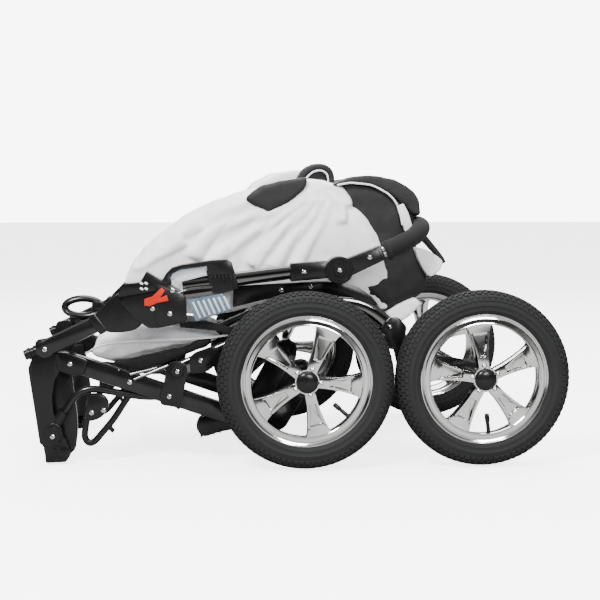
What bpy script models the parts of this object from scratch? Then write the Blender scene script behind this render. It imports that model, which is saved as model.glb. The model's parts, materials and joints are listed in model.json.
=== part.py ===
"""Pet stroller on four air tyres, folded flat for storage.

Metres, +Z up. The origin is on the floor, under the middle of the folded stroller.
-X is the front of the stroller in use, -Y is its left side and +Y its right side.
Side views are drawn as (x, z) outlines and given their width along Y.
"""
import math

import bmesh
import bpy
from mathutils import Matrix, Vector

# ---------------------------------------------------------------- driving dimensions
WHEEL_R = 0.156                      # 12.5 inch air tyre
TYRE_W = 0.055
RIM_R = 0.114
WHEEL_Y = 0.2475                     # centre plane of each wheel
HUB_W = 0.050
HUB_R = 0.021
SPOKES = 5
AXLE_R = 0.006
AXLE_END_Y = 0.262                   # the axle ends inside the hub
CLEAR = 0.0004                       # running gap round a shaft
GAP = 0.0003                         # gap between faces that rest on each other
PIN_R = 0.0054

FRONT_HUB = (0.009, WHEEL_R)
REAR_HUB = (0.3225, WHEEL_R)
HANDLE_PIVOT = (-0.443, 0.210)       # where the handle folds on the front frame
LEG_PIVOT = (-0.214, 0.164)          # where the rear leg folds on the front frame
KNUCKLE = (0.073, 0.345)             # where the grip tilts on the handle
KNUCKLE_R = 0.0245
CROSS_TUBE = (-0.090, 0.071)         # the brake pedal turns on this tube
CROSS_TUBE_R = 0.0105

# planes of the left side, as distances from the middle: inner face, outer face
FRAME_Y = (0.150, 0.170)             # side tube, rear leg, hub brackets
PLATE_Y = (0.1705, 0.1745)           # bracket plates on the outside of the frame
HANDLE_Y = (0.1755, 0.2045)          # folding handle
HOUSING_Y = (0.1755, 0.2125)         # lock housing
HANDLE_MID = 0.190
CABIN_Y = 0.146                      # half width of the cloth parts

SIDE_TUBE_START = (-0.384, 0.1755)
SIDE_TUBE_END = (-0.060, 0.0606)
SIDE_TUBE_DEPTH = 0.034
LEG_DEPTH = 0.028
LEG_BEND_R = 0.117
LEG_BEND_MID = (0.0794, 0.1648)      # centre of the rear leg's bend
HANDLE_TUBE_R = 0.0145
HANDLE_SLOPE = math.radians(24.4)
BOOT_START = 0.108                   # along the handle from its pivot
BOOT_LENGTH = 0.068
OVAL_TUBE = (0.025, 0.017)           # depth and width of the upper handle tube
GRIP_R = 0.016

ROUND = 28                           # sides of a round part
WHEEL_STEPS = 32


# ---------------------------------------------------------------- tools
def clear_scene():
    for thing in list(bpy.data.objects):
        bpy.data.objects.remove(thing, do_unlink=True)


def material(name, colour, roughness, metallic=0.0, alpha=1.0):
    found = bpy.data.materials.get(name)
    if found:
        return found
    made = bpy.data.materials.new(name)
    made.use_nodes = True
    shader = made.node_tree.nodes["Principled BSDF"]
    shader.inputs["Base Color"].default_value = (*colour, 1.0)
    shader.inputs["Roughness"].default_value = roughness
    shader.inputs["Metallic"].default_value = metallic
    shader.inputs["Alpha"].default_value = alpha
    return made


def black_plastic():
    return material("black_plastic", (0.028, 0.028, 0.030), 0.42)


def black_tube():
    return material("black_tube", (0.020, 0.020, 0.022), 0.28, 0.6)


def dark_chrome():
    return material("dark_chrome", (0.30, 0.28, 0.29), 0.12, 1.0)


def chrome():
    return material("chrome", (0.78, 0.78, 0.80), 0.06, 1.0)


def tyre_rubber():
    return material("tyre_rubber", (0.055, 0.056, 0.060), 0.85)


def foam():
    return material("foam_grip", (0.075, 0.077, 0.082), 0.90)


def trigger_red():
    return material("trigger_red", (0.80, 0.10, 0.035), 0.38)


def clear_plastic():
    return material("clear_plastic", (0.80, 0.84, 0.88), 0.15, 0.0, 0.40)


def white_cloth():
    return material("white_cloth", (0.82, 0.82, 0.83), 0.55)


def charcoal_cloth():
    return material("charcoal_cloth", (0.035, 0.036, 0.040), 0.85)


def mesh_object(name, mesh, finish):
    mesh.materials.clear()
    mesh.materials.append(finish)
    made = bpy.data.objects.new(name, mesh)
    bpy.context.scene.collection.objects.link(made)
    return made


def closed(bm):
    """Joins doubled corners and turns every face outwards."""
    bmesh.ops.remove_doubles(bm, verts=bm.verts, dist=0.00001)
    bmesh.ops.recalc_face_normals(bm, faces=bm.faces)
    return bm


def plate(outline, y_low, y_high, bevel=0.0):
    """A flat part: an (x, z) outline with a thickness along Y."""
    bm = bmesh.new()
    corners = [bm.verts.new((x, y_low, z)) for x, z in outline]
    face = bm.faces.new(corners)
    grown = bmesh.ops.extrude_face_region(bm, geom=[face])
    moved = [item for item in grown["geom"] if isinstance(item, bmesh.types.BMVert)]
    bmesh.ops.translate(bm, verts=moved, vec=(0.0, y_high - y_low, 0.0))
    closed(bm)
    if bevel:
        rims = [edge for edge in bm.edges
                if abs(edge.verts[0].co.y - edge.verts[1].co.y) < 0.00001]
        bmesh.ops.bevel(bm, geom=rims, offset=bevel, offset_type="OFFSET", segments=1,
                        profile=0.5, affect="EDGES", clamp_overlap=True, material=-1)
    return bm


def turned(profile, steps, middle, along):
    """A round part: (radius, height) points spun about an axis through middle.

    A profile that starts on the axis ends there too, and is left open.
    """
    bm = bmesh.new()
    ring = [bm.verts.new((radius, 0.0, height)) for radius, height in profile]
    onward = ring[1:] if profile[0][0] == 0 else ring[1:] + ring[:1]
    for first, second in zip(ring, onward):
        bm.edges.new((first, second))
    bmesh.ops.spin(bm, geom=bm.verts[:] + bm.edges[:], cent=(0, 0, 0), axis=(0, 0, 1),
                   angle=math.tau, steps=steps, use_merge=True)
    closed(bm)
    lift = Vector((0, 0, 1)).rotation_difference(Vector(along)).to_matrix().to_4x4()
    bmesh.ops.transform(bm, verts=bm.verts, matrix=Matrix.Translation(middle) @ lift)
    return bm


def rod(start, end, radius, sides=ROUND):
    """A round bar between two points."""
    start, end = Vector(start), Vector(end)
    bm = bmesh.new()
    bmesh.ops.create_cone(bm, cap_ends=True, segments=sides, radius1=radius,
                          radius2=radius, depth=(end - start).length)
    lean = Vector((0, 0, 1)).rotation_difference(end - start).to_matrix().to_4x4()
    bmesh.ops.transform(bm, verts=bm.verts,
                        matrix=Matrix.Translation((start + end) / 2) @ lean)
    return closed(bm)


def pipe(points, radius, sides=12):
    """A bent round bar, swept by a bevelled curve with filled caps."""
    curve = bpy.data.curves.new("pipe", "CURVE")
    curve.dimensions = "3D"
    curve.bevel_depth = radius
    curve.bevel_resolution = sides // 2 - 2
    curve.use_fill_caps = True
    spline = curve.splines.new("POLY")
    spline.points.add(len(points) - 1)
    for point, place in zip(spline.points, points):
        point.co = (*place, 1.0)
    holder = bpy.data.objects.new("pipe", curve)
    bpy.context.scene.collection.objects.link(holder)
    bpy.context.view_layer.update()
    swept = bpy.data.meshes.new_from_object(
        holder.evaluated_get(bpy.context.evaluated_depsgraph_get()))
    bm = bmesh.new()
    bm.from_mesh(swept)
    bpy.data.objects.remove(holder)
    bpy.data.meshes.remove(swept)
    return closed(bm)


def combine(base, others, operation):
    """Adds solids to a base solid, or cuts them from it, with exact Booleans."""
    mesh = bpy.data.meshes.new("base")
    base.to_mesh(mesh)
    base.free()
    holder = bpy.data.objects.new("base", mesh)
    bpy.context.scene.collection.objects.link(holder)
    tools = []
    for other in others:
        tool_mesh = bpy.data.meshes.new("tool")
        other.to_mesh(tool_mesh)
        other.free()
        tool = bpy.data.objects.new("tool", tool_mesh)
        tool.display_type = "WIRE"
        tool.hide_render = True
        bpy.context.scene.collection.objects.link(tool)
        step = holder.modifiers.new("step", "BOOLEAN")
        step.operation = operation
        step.solver = "EXACT"
        step.object = tool
        tools.append(tool)
    bpy.context.view_layer.update()
    result = bpy.data.meshes.new_from_object(
        holder.evaluated_get(bpy.context.evaluated_depsgraph_get()))
    bm = bmesh.new()
    bm.from_mesh(result)
    for item in tools + [holder]:
        bpy.data.objects.remove(item)
    bmesh.ops.remove_doubles(bm, verts=bm.verts, dist=0.000005)
    bmesh.ops.dissolve_limit(bm, angle_limit=math.radians(0.5), verts=bm.verts, edges=bm.edges)
    return bm


def union(base, *others):
    return combine(base, others, "UNION")


def cut(base, *others):
    return combine(base, others, "DIFFERENCE")


def keep(name, bm, finish, smooth=True):
    """Stores a finished solid as a named object."""
    bmesh.ops.triangulate(bm, faces=bm.faces)
    mesh = bpy.data.meshes.new(name)
    bm.to_mesh(mesh)
    bm.free()
    if smooth:
        mesh.shade_smooth()
        mesh.set_sharp_from_angle(angle=math.radians(35))
    return mesh_object(name, mesh, finish)


def cross_bore(place, radius, sign):
    """The cutter of a hole along Y through the parts of one side."""
    x, z = place
    return rod((x, sign * 0.120, z), (x, sign * 0.230, z), radius)


def y_range(planes, sign):
    """The low and high Y of a pair of planes on the chosen side."""
    low, high = planes
    return (low, high) if sign > 0 else (-high, -low)


def slope_offset(start, end, distance):
    """The two rails on either side of a straight centre line."""
    along = (Vector(end) - Vector(start)).normalized()
    across = Vector((-along.y, along.x)) * distance
    return [tuple(Vector(start) + across), tuple(Vector(end) + across),
            tuple(Vector(end) - across), tuple(Vector(start) - across)]


def along_slope(start, angle, distance):
    return (start[0] + math.cos(angle) * distance, start[1] + math.sin(angle) * distance)


def arc_points(middle, radius, first, last, count):
    """Points on an (x, z) circle, from one angle to another in degrees."""
    steps = [first + (last - first) * index / (count - 1) for index in range(count)]
    return [(middle[0] + radius * math.cos(math.radians(a)),
             middle[1] + radius * math.sin(math.radians(a))) for a in steps]


SIDES = (("left", -1), ("right", 1))


# ---------------------------------------------------------------- wheels
def tyre_mesh():
    half = TYRE_W / 2
    bead = RIM_R + GAP
    profile = [(bead, -0.017), (0.124, -0.024), (0.138, -half), (0.150, -0.023),
               (WHEEL_R, -0.010), (WHEEL_R, 0.010), (0.150, 0.023),
               (0.138, half), (0.124, 0.024), (bead, 0.017)]
    return turned(profile, WHEEL_STEPS, (0, 0, 0), (0, -1, 0))


def rim_mesh(first_spoke):
    """Rim, five spokes and hub as one casting; its outer face is at -Y."""
    barrel = turned([(0.1035, -0.019), (RIM_R, -0.019), (RIM_R, 0.019), (0.1035, 0.019)],
                    WHEEL_STEPS, (0, 0, 0), (0, -1, 0))
    hub_half = HUB_W / 2
    hub = turned([(0, -hub_half), (HUB_R, -hub_half), (HUB_R, hub_half - 0.004),
                  (HUB_R - 0.004, hub_half), (0, hub_half)], ROUND, (0, 0, 0), (0, -1, 0))
    blind_end = WHEEL_Y - AXLE_END_Y - 0.0008
    bore = rod((0, blind_end, 0), (0, hub_half + 0.01, 0), AXLE_R + CLEAR)
    spokes = []
    for index in range(SPOKES):
        turn = math.radians(first_spoke) + math.tau * index / SPOKES
        blade = plate([(0.015, -0.0075), (0.108, -0.015), (0.108, 0.015), (0.015, 0.0075)],
                      -0.011, 0.003)
        bmesh.ops.rotate(blade, verts=blade.verts, cent=(0, 0, 0),
                         matrix=Matrix.Rotation(-turn, 3, "Y"))
        spokes.append(blade)
    return cut(union(barrel, hub, *spokes), bore)


def add_wheels():
    rows = (("front", FRONT_HUB, -5.0), ("rear", REAR_HUB, 25.0))
    for end, hub, first_spoke in rows:
        for side, sign in SIDES:
            turn = Matrix.Identity(4) if sign < 0 else Matrix.Rotation(math.pi, 4, "Z")
            place = Matrix.Translation((hub[0], sign * WHEEL_Y, hub[1])) @ turn
            tyre = tyre_mesh()
            bmesh.ops.transform(tyre, verts=tyre.verts, matrix=place)
            keep(f"{end}_{side}_tyre", tyre, tyre_rubber())
            rim = rim_mesh(first_spoke)
            bmesh.ops.transform(rim, verts=rim.verts, matrix=place)
            keep(f"{end}_{side}_rim", rim, chrome())


# ---------------------------------------------------------------- front frame
def add_front_frame():
    keep("front_axle", rod((FRONT_HUB[0], -AXLE_END_Y, FRONT_HUB[1]),
                           (FRONT_HUB[0], AXLE_END_Y, FRONT_HUB[1]), AXLE_R), chrome())
    tube_end_face = slope_offset(SIDE_TUBE_START, SIDE_TUBE_END, SIDE_TUBE_DEPTH / 2)
    for side, sign in SIDES:
        near, far = y_range(FRAME_Y, sign)
        keep(f"side_tube_{side}", plate(tube_end_face, near, far, 0.003), black_tube())
        top, bottom = tube_end(SIDE_TUBE_END, 1)
        hub_plate = plate([top, bottom, (-0.020, 0.058), (0.030, 0.142), (0.031, 0.170),
                           (0.009, 0.181), (-0.013, 0.170)], near, far, 0.002)
        keep(f"front_hub_bracket_{side}",
             cut(hub_plate, cross_bore(FRONT_HUB, AXLE_R + CLEAR, sign)), black_plastic())
        add_pivot_bracket(side, sign)
        add_stand_leg(side, sign)
        add_bow_tube(side, sign)
        add_prop_bar(side, sign)
    near = CABIN_Y - 0.010
    keep("stand_cross_tube", rod((-0.447, -near, 0.075), (-0.447, near, 0.075), 0.010),
         black_tube())
    add_front_cross_tube()


def tube_end(place, step):
    """Top and bottom corners of a face that meets an end of the side tube."""
    slope = math.atan2(SIDE_TUBE_END[1] - SIDE_TUBE_START[1],
                       SIDE_TUBE_END[0] - SIDE_TUBE_START[0])
    x, z = along_slope(place, slope, step * GAP * 1.3)
    half = SIDE_TUBE_DEPTH / 2
    across = (-math.sin(slope) * half, math.cos(slope) * half)
    return (x + across[0], z + across[1]), (x - across[0], z - across[1])


def add_front_cross_tube():
    """Joins the two side tubes."""
    reach = FRAME_Y[0] - GAP
    x, z = CROSS_TUBE
    keep("front_cross_tube", rod((x, -reach, z), (x, reach, z), CROSS_TUBE_R), black_tube())


def add_pivot_bracket(side, sign):
    """Outer plate on the side tube that carries the rear leg's pivot pin."""
    near, far = y_range(PLATE_Y, sign)
    ear = plate([(-0.236, 0.176), (-0.225, 0.184), (-0.205, 0.183), (-0.197, 0.170),
                 (-0.199, 0.150), (-0.209, 0.106), (-0.240, 0.099), (-0.247, 0.114),
                 (-0.236, 0.150)], near, far, 0.0008)
    x, z = LEG_PIVOT
    pin = rod((x, sign * (FRAME_Y[0] + 0.002), z), (x, sign * 0.174, z), PIN_R)
    keep(f"pivot_bracket_{side}", union(ear, pin), black_plastic())


def add_stand_leg(side, sign):
    """Moulded leg under the handle pivot: the folded frame stands on its foot."""
    near, far = y_range((0.137, 0.170), sign)
    outline = [(-0.475, 0.176), (-0.466, 0.192), (-0.458, 0.224), (-0.432, 0.227),
               (-0.424, 0.206), *tube_end(SIDE_TUBE_START, -1), (-0.4235, 0.162),
               (-0.433, 0.150), (-0.434, 0.110), (-0.428, 0.074), (-0.417, 0.046),
               (-0.407, 0.030), (-0.404, 0.012), (-0.412, 0.0), (-0.448, 0.0),
               (-0.453, 0.034), (-0.458, 0.037)]
    leg = plate(outline, near, far)
    x, z = HANDLE_PIVOT
    pin = rod((x, sign * 0.160, z), (x, sign * 0.2035, z), PIN_R)
    keep(f"stand_leg_{side}", union(leg, pin), black_plastic())


def add_bow_tube(side, sign):
    """Round bar that springs from the stand leg and braces the side tube."""
    y = sign * 0.1575
    route = [(-0.4215, 0.082), (-0.405, 0.100), (-0.392, 0.118), (-0.375, 0.128),
             (-0.352, 0.127), (-0.316, 0.116), (-0.262, 0.094)]
    keep(f"bow_tube_{side}", pipe([(x, y, z) for x, z in route], 0.0068, 10), black_tube())


def add_prop_bar(side, sign):
    """V-shaped bar with its moulded clip, hung under the bow tube."""
    y = sign * 0.1575
    route = [(-0.363, 0.096), (-0.3745, 0.066), (-0.3735, 0.045), (-0.366, 0.042),
             (-0.336, 0.073), (-0.316, 0.098)]
    clip_y = y_range((0.1500, 0.1650), sign)
    clip = plate([(-0.372, 0.1170), (-0.346, 0.1165), (-0.337, 0.100), (-0.345, 0.080),
                  (-0.356, 0.073), (-0.373, 0.070), (-0.377, 0.095)], *clip_y, 0.002)
    keep(f"prop_bar_{side}", union(clip, pipe([(x, y, z) for x, z in route], 0.0062, 10)),
         black_plastic())


def add_brake_pedal():
    """Foot lever that turns on the front cross tube, just inside the left side tube."""
    near, far = y_range((0.120, 0.1490), -1)
    outline = [(-0.176, 0.0735), (-0.181, 0.056), (-0.172, 0.042), (-0.164, 0.040),
               (-0.090, 0.056), (-0.078, 0.066), (-0.078, 0.078), (-0.092, 0.088),
               (-0.120, 0.080), (-0.150, 0.0790)]
    x, z = CROSS_TUBE
    bore = rod((x, near - 0.01, z), (x, far + 0.01, z), CROSS_TUBE_R + CLEAR)
    keep("brake_pedal", cut(plate(outline, near, far, 0.002), bore), black_plastic())


# ---------------------------------------------------------------- rear leg
def leg_outline():
    """Straight run from the pivot, then a bend down to the rear arm."""
    slope = math.atan2(LEG_BEND_MID[1] - LEG_PIVOT[1] + LEG_BEND_R * 0.916,
                       LEG_BEND_MID[0] - LEG_PIVOT[0] - LEG_BEND_R * 0.401)
    half = LEG_DEPTH / 2
    side = Vector((-math.sin(slope), math.cos(slope))) * half
    start = Vector(along_slope(LEG_PIVOT, slope, -0.022))
    first = 90 + math.degrees(slope)
    outer = arc_points(LEG_BEND_MID, LEG_BEND_R + half, first, 44, 12)
    inner = arc_points(LEG_BEND_MID, LEG_BEND_R - half, 44, first, 12)
    return [tuple(start + side)] + outer + inner + [tuple(start - side)]


def add_rear_leg():
    keep("rear_axle", rod((REAR_HUB[0], -AXLE_END_Y, REAR_HUB[1]),
                          (REAR_HUB[0], AXLE_END_Y, REAR_HUB[1]), AXLE_R), chrome())
    for side, sign in SIDES:
        near, far = y_range((0.1525, 0.1680), sign)
        tube = plate(leg_outline(), near, far, 0.003)
        keep(f"leg_tube_{side}", cut(tube, cross_bore(LEG_PIVOT, PIN_R + CLEAR, sign)),
             dark_chrome())
        near, far = y_range((0.1685, 0.1745), sign)
        keep(f"leg_fitting_{side}",
             plate([(-0.1925, 0.188), (-0.184, 0.196), (-0.150, 0.208), (-0.140, 0.200),
                    (-0.139, 0.180), (-0.160, 0.165), (-0.189, 0.160)], near, far, 0.001),
             black_plastic())
        near, far = y_range((0.1525, 0.1745), sign)
        arm = plate([(0.1655, 0.2485), (0.172, 0.2555), (0.185, 0.256), (0.200, 0.240),
                     (0.196, 0.212), (0.206, 0.196), (0.330, 0.174), (0.341, 0.162),
                     (0.339, 0.146), (0.325, 0.139), (0.215, 0.160), (0.184, 0.172),
                     (0.176, 0.206), (0.164, 0.224), (0.1500, 0.2330), (0.1560, 0.2375)],
                    near, far)
        leg_gap = plate(leg_gap_outline(), near - 0.01, far + 0.01)
        keep(f"rear_arm_{side}",
             cut(arm, leg_gap, cross_bore(REAR_HUB, AXLE_R + GAP, sign)), black_plastic())
    reach = 0.1525 - GAP
    keep("rear_cross_tube", rod((0.245, -reach, 0.172), (0.245, reach, 0.172), 0.011),
         black_tube())


def leg_gap_outline():
    """The rear leg's end, grown by the gap, which the rear arm fits against."""
    half = LEG_DEPTH / 2 + GAP
    outer = arc_points(LEG_BEND_MID, LEG_BEND_R + half, 80, 43.7, 8)
    inner = arc_points(LEG_BEND_MID, LEG_BEND_R - half, 43.7, 80, 8)
    return outer + inner


# ---------------------------------------------------------------- handle
def add_handle():
    boot_start = along_slope(HANDLE_PIVOT, HANDLE_SLOPE, BOOT_START)
    leg_end = along_slope(HANDLE_PIVOT, HANDLE_SLOPE, BOOT_START - GAP)
    leg_start = along_slope(HANDLE_PIVOT, HANDLE_SLOPE, -0.018)
    stub_start = along_slope(HANDLE_PIVOT, HANDLE_SLOPE, -0.010)
    for side, sign in SIDES:
        y = sign * HANDLE_MID
        leg = rod((leg_start[0], y, leg_start[1]), (leg_end[0], y, leg_end[1]), HANDLE_TUBE_R)
        stub = rod((stub_start[0], y, stub_start[1]),
                   (-0.4765, y, 0.2145), 0.0085)
        keep(f"handle_leg_{side}",
             cut(union(leg, stub), cross_bore(HANDLE_PIVOT, PIN_R + CLEAR, sign)),
             black_tube())
        boot = turned([(0, 0), (0.0150, 0), (0.0185, 0.012), (0.0185, 0.040),
                       (0.0200, BOOT_LENGTH), (0, BOOT_LENGTH)], ROUND, (0, 0, 0), (0, 0, 1))
        stretch_boot(boot, boot_start, y)
        keep(f"boot_{side}", boot, black_plastic())
        add_lock(side, sign)
        add_upper_tube(side, sign)
        add_cabin_rail(side, sign)
    reach = HANDLE_Y[0] - GAP
    keep("handle_cross_bar", rod((-0.392, -reach, 0.2335), (-0.392, reach, 0.2335), 0.0085),
         black_tube())
    add_pull_ring()


def stretch_boot(boot, start, y):
    """Turns the boot's tube section into a tall oval and lays it along the handle."""
    for vert in boot.verts:
        vert.co.x *= 1.0 + 1.05 * (vert.co.z / BOOT_LENGTH) ** 1.5
        vert.co.y *= 1.0 if vert.co.z < 0.001 else 0.98
    lean = Matrix.Rotation(math.pi / 2 - HANDLE_SLOPE, 4, "Y")
    bmesh.ops.transform(boot, verts=boot.verts,
                        matrix=Matrix.Translation((start[0], y, start[1])) @ lean)


def add_lock(side, sign):
    """Moulded lock housing with its window frame and a red trigger in a slot."""
    near, far = y_range(HOUSING_Y, sign)
    body = plate([(-0.297, 0.3195), (-0.286, 0.326), (-0.234, 0.334), (-0.219, 0.352),
                  (-0.129, 0.364), (-0.116, 0.361), (-0.1065, 0.344), (-0.1065, 0.314),
                  (-0.134, 0.306), (-0.196, 0.295), (-0.196, 0.256), (-0.243, 0.246),
                  (-0.264, 0.2455)], near, far, 0.003)
    window = plate([(-0.226, 0.333), (-0.214, 0.346), (-0.162, 0.352), (-0.160, 0.3415)],
                   near - 0.01, far + 0.01)
    outer = sign * far if sign > 0 else near
    slot_y = sorted((outer - sign * 0.007, outer + sign * 0.010))
    slot = plate([(-0.271, 0.2990), (-0.271, 0.281), (-0.2215, 0.281), (-0.2215, 0.3245),
                  (-0.248, 0.3245)], *slot_y)
    tube_hole = plate(slope_offset((-0.140, 0.326), (-0.090, 0.3315), 0.0135),
                      near - 0.01, far + 0.01)
    keep(f"lock_housing_{side}", cut(body, window, slot, tube_hole), black_plastic())
    trigger_y = sorted((outer - sign * 0.0062, outer + sign * 0.002))
    trigger = plate([(-0.2695, 0.2965), (-0.2695, 0.2860), (-0.2610, 0.2850),
                     (-0.2480, 0.2905), (-0.2290, 0.2940), (-0.2310, 0.3040),
                     (-0.2440, 0.2985), (-0.2350, 0.3110), (-0.2400, 0.3165),
                     (-0.2560, 0.3010)], *trigger_y)
    keep(f"lock_trigger_{side}", trigger, trigger_red())
    cover_y = y_range((0.186, 0.2085), sign)
    keep(f"clear_cover_{side}",
         plate([(-0.1955, 0.2935), (-0.134, 0.3050), (-0.117, 0.276), (-0.181, 0.256)],
               *cover_y, 0.002), clear_plastic())


def add_upper_tube(side, sign):
    """Oval tube from the lock to the knuckle, and the knuckle's two halves."""
    depth, width = OVAL_TUBE
    near, far = y_range((HANDLE_MID - width / 2, HANDLE_MID + width / 2), sign)
    run = slope_offset((-0.1395, 0.3262), (-0.0150, 0.3403), depth / 2)
    keep(f"handle_tube_{side}", plate(run, near, far, 0.005), dark_chrome())
    x, z = KNUCKLE
    inner = y_range((0.1755, 0.1895), sign)
    disc = rod((x, inner[0], z), (x, inner[1], z), KNUCKLE_R)
    link = plate([(-0.0132, 0.3555), (0.048, 0.3600), (0.070, 0.3600), (0.070, 0.330),
                  (0.044, 0.330), (-0.0132, 0.3255)], *inner)
    fork_low = y_range((0.1755, 0.2045), sign)
    fork = plate([(-0.0132, 0.3555), (0.044, 0.3598), (0.044, 0.3305), (-0.0132, 0.3255)],
                 *fork_low, 0.002)
    recess = rod((x, sign * 0.160, z), (x, sign * 0.184, z), 0.0095)
    pin_hole = rod((x, sign * 0.183, z), (x, sign * 0.195, z), PIN_R + CLEAR)
    keep(f"knuckle_lower_{side}", cut(union(disc, link, fork), recess, pin_hole),
         black_plastic())
    outer = y_range((0.1900, 0.2050), sign)
    disc = rod((x, outer[0], z), (x, outer[1], z), KNUCKLE_R)
    pin = rod((x, sign * 0.1868, z), (x, sign * 0.192, z), PIN_R)
    turn_room = KNUCKLE_R + 0.002
    link = plate([(x + 0.005, 0.3655), (0.147, 0.3870), (0.1565, 0.3640), (x + 0.013, 0.3275)],
                 *outer)
    inner_link = plate([along_slope(KNUCKLE, math.radians(38), turn_room), (0.1470, 0.3870),
                        (0.1565, 0.3640), along_slope(KNUCKLE, math.radians(6), turn_room)],
                       *y_range((0.1755, 0.2050), sign), 0.002)
    keep(f"knuckle_upper_{side}", union(disc, pin, link, inner_link), black_plastic())
    button_y = sorted((sign * 0.1715, sign * 0.1800))
    keep(f"knuckle_button_{side}",
         rod((x, button_y[0], z), (x, button_y[1], z), 0.0090, 20), black_plastic())


def add_cabin_rail(side, sign):
    """Curved bar under the handle tube that the cloth is sewn to."""
    near, far = y_range((0.1505, 0.1640), sign)
    keep(f"cabin_rail_{side}",
         plate([(-0.112, 0.314), (-0.061, 0.3175), (0.008, 0.3205), (0.080, 0.3200),
                (0.113, 0.312), (0.136, 0.298), (0.147, 0.2870), (0.132, 0.2900),
                (0.100, 0.302), (0.060, 0.3060), (0.008, 0.3030), (-0.061, 0.2945),
                (-0.112, 0.280)], near, far, 0.002), black_plastic())


def add_grip():
    """Foam-covered U that joins the two upper knuckles behind the cabin."""
    neck = (0.1570, 0.3775)
    y = HANDLE_MID + 0.0003
    bend_x, bend_z = 0.232, 0.425
    near_side = [(neck[0], -y, neck[1]), (0.185, -y, 0.3935), (0.205, -y * 0.985, 0.4065),
                 (0.222, -y * 0.94, 0.4180), (0.231, -y * 0.87, 0.4245),
                 (bend_x, -y * 0.78, bend_z)]
    far_side = [(x, -yy, z) for x, yy, z in reversed(near_side)]
    keep("grip_bar", pipe(near_side + far_side, GRIP_R, 12), foam())


def add_pull_ring():
    """Oval pull ring clipped on the cross bar in the middle."""
    middle = (-0.394, 0.2655)
    outer, inner = [], []
    for index in range(20):
        turn = math.tau * index / 20
        outer.append((middle[0] + 0.040 * math.cos(turn), middle[1] + 0.0215 * math.sin(turn)))
        inner.append((middle[0] + 0.030 * math.cos(turn), middle[1] + 0.0120 * math.sin(turn)))
    ring = plate(outer, -0.011, 0.011, 0.002)
    hole = plate(inner, -0.030, 0.030)
    keep("pull_ring", cut(ring, hole), black_plastic())


# ---------------------------------------------------------------- cloth parts
def add_cloth_parts():
    cabin = plate([(-0.302, 0.343), (-0.262, 0.388), (-0.207, 0.429), (-0.144, 0.463),
                   (-0.081, 0.490), (0.009, 0.510), (0.0885, 0.5098), (0.097, 0.466),
                   (0.150, 0.430), (0.205, 0.410), (0.222, 0.360), (0.222, 0.326),
                   (0.246, 0.300), (0.196, 0.258), (0.160, 0.2625), (0.110, 0.292),
                   (0.040, 0.296), (-0.061, 0.286), (-0.120, 0.262), (-0.200, 0.262),
                   (-0.290, 0.290), (-0.315, 0.320)],
                  -CABIN_Y, CABIN_Y, 0.012)
    keep("cabin", cabin, white_cloth())
    pad = plate([(-0.378, 0.197), (-0.352, 0.2205), (-0.298, 0.243), (-0.245, 0.245),
                 (-0.164, 0.242), (-0.118, 0.232), (-0.150, 0.216), (-0.236, 0.197),
                 (-0.308, 0.180), (-0.339, 0.176), (-0.370, 0.184)],
                -CABIN_Y + 0.006, CABIN_Y - 0.006, 0.008)
    keep("seat_pad", pad, white_cloth())
    hood = plate([(0.0990, 0.4695), (0.0905, 0.5100), (0.100, 0.5135), (0.125, 0.5150),
                  (0.165, 0.508), (0.217, 0.483), (0.222, 0.462), (0.200, 0.436),
                  (0.190, 0.4195), (0.152, 0.4340)], -CABIN_Y, CABIN_Y, 0.008)
    keep("hood", hood, charcoal_cloth())
    loop = plate([(0.026, 0.5110), (0.028, 0.522), (0.036, 0.5315), (0.050, 0.5366),
                  (0.066, 0.5366), (0.079, 0.531), (0.085, 0.521), (0.086, 0.5110)],
                 -0.015, 0.015)
    hole = plate([(0.032, 0.5130), (0.034, 0.520), (0.041, 0.527), (0.051, 0.5306),
                  (0.065, 0.5306), (0.074, 0.5265), (0.0790, 0.519), (0.080, 0.5130)],
                 -0.040, 0.040)
    keep("carry_loop", cut(loop, hole), charcoal_cloth())


clear_scene()
add_wheels()
add_front_frame()
add_brake_pedal()
add_rear_leg()
add_handle()
add_grip()
add_cloth_parts()
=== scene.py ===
# %% [markdown]
# # A pet stroller, folded on its four air tyres
# The frame of solids gives every place and size. Each step below makes one piece of the stroller
# in a fuller shape, or gives a solid that is already right a finish of its own.

# %% load the frame
import json
import math

import bmesh
import bpy
from mathutils import Matrix, Vector, noise


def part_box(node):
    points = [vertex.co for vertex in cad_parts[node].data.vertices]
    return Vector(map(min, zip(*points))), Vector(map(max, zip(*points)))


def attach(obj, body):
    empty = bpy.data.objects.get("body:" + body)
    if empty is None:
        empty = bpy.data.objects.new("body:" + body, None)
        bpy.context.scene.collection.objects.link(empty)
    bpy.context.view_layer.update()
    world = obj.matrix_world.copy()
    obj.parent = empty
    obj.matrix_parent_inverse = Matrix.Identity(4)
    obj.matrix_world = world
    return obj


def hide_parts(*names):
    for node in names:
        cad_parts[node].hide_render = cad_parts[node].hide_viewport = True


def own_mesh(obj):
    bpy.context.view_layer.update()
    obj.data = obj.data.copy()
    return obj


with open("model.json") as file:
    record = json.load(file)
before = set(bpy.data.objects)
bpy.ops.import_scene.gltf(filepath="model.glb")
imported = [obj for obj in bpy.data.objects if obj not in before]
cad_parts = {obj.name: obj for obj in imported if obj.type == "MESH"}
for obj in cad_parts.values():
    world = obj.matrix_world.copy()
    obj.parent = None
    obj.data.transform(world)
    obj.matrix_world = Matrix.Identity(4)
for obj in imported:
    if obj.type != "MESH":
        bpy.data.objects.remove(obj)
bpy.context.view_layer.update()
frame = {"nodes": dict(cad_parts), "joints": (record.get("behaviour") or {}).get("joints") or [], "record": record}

joints = {joint["name"]: joint for joint in frame["joints"]}

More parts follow.
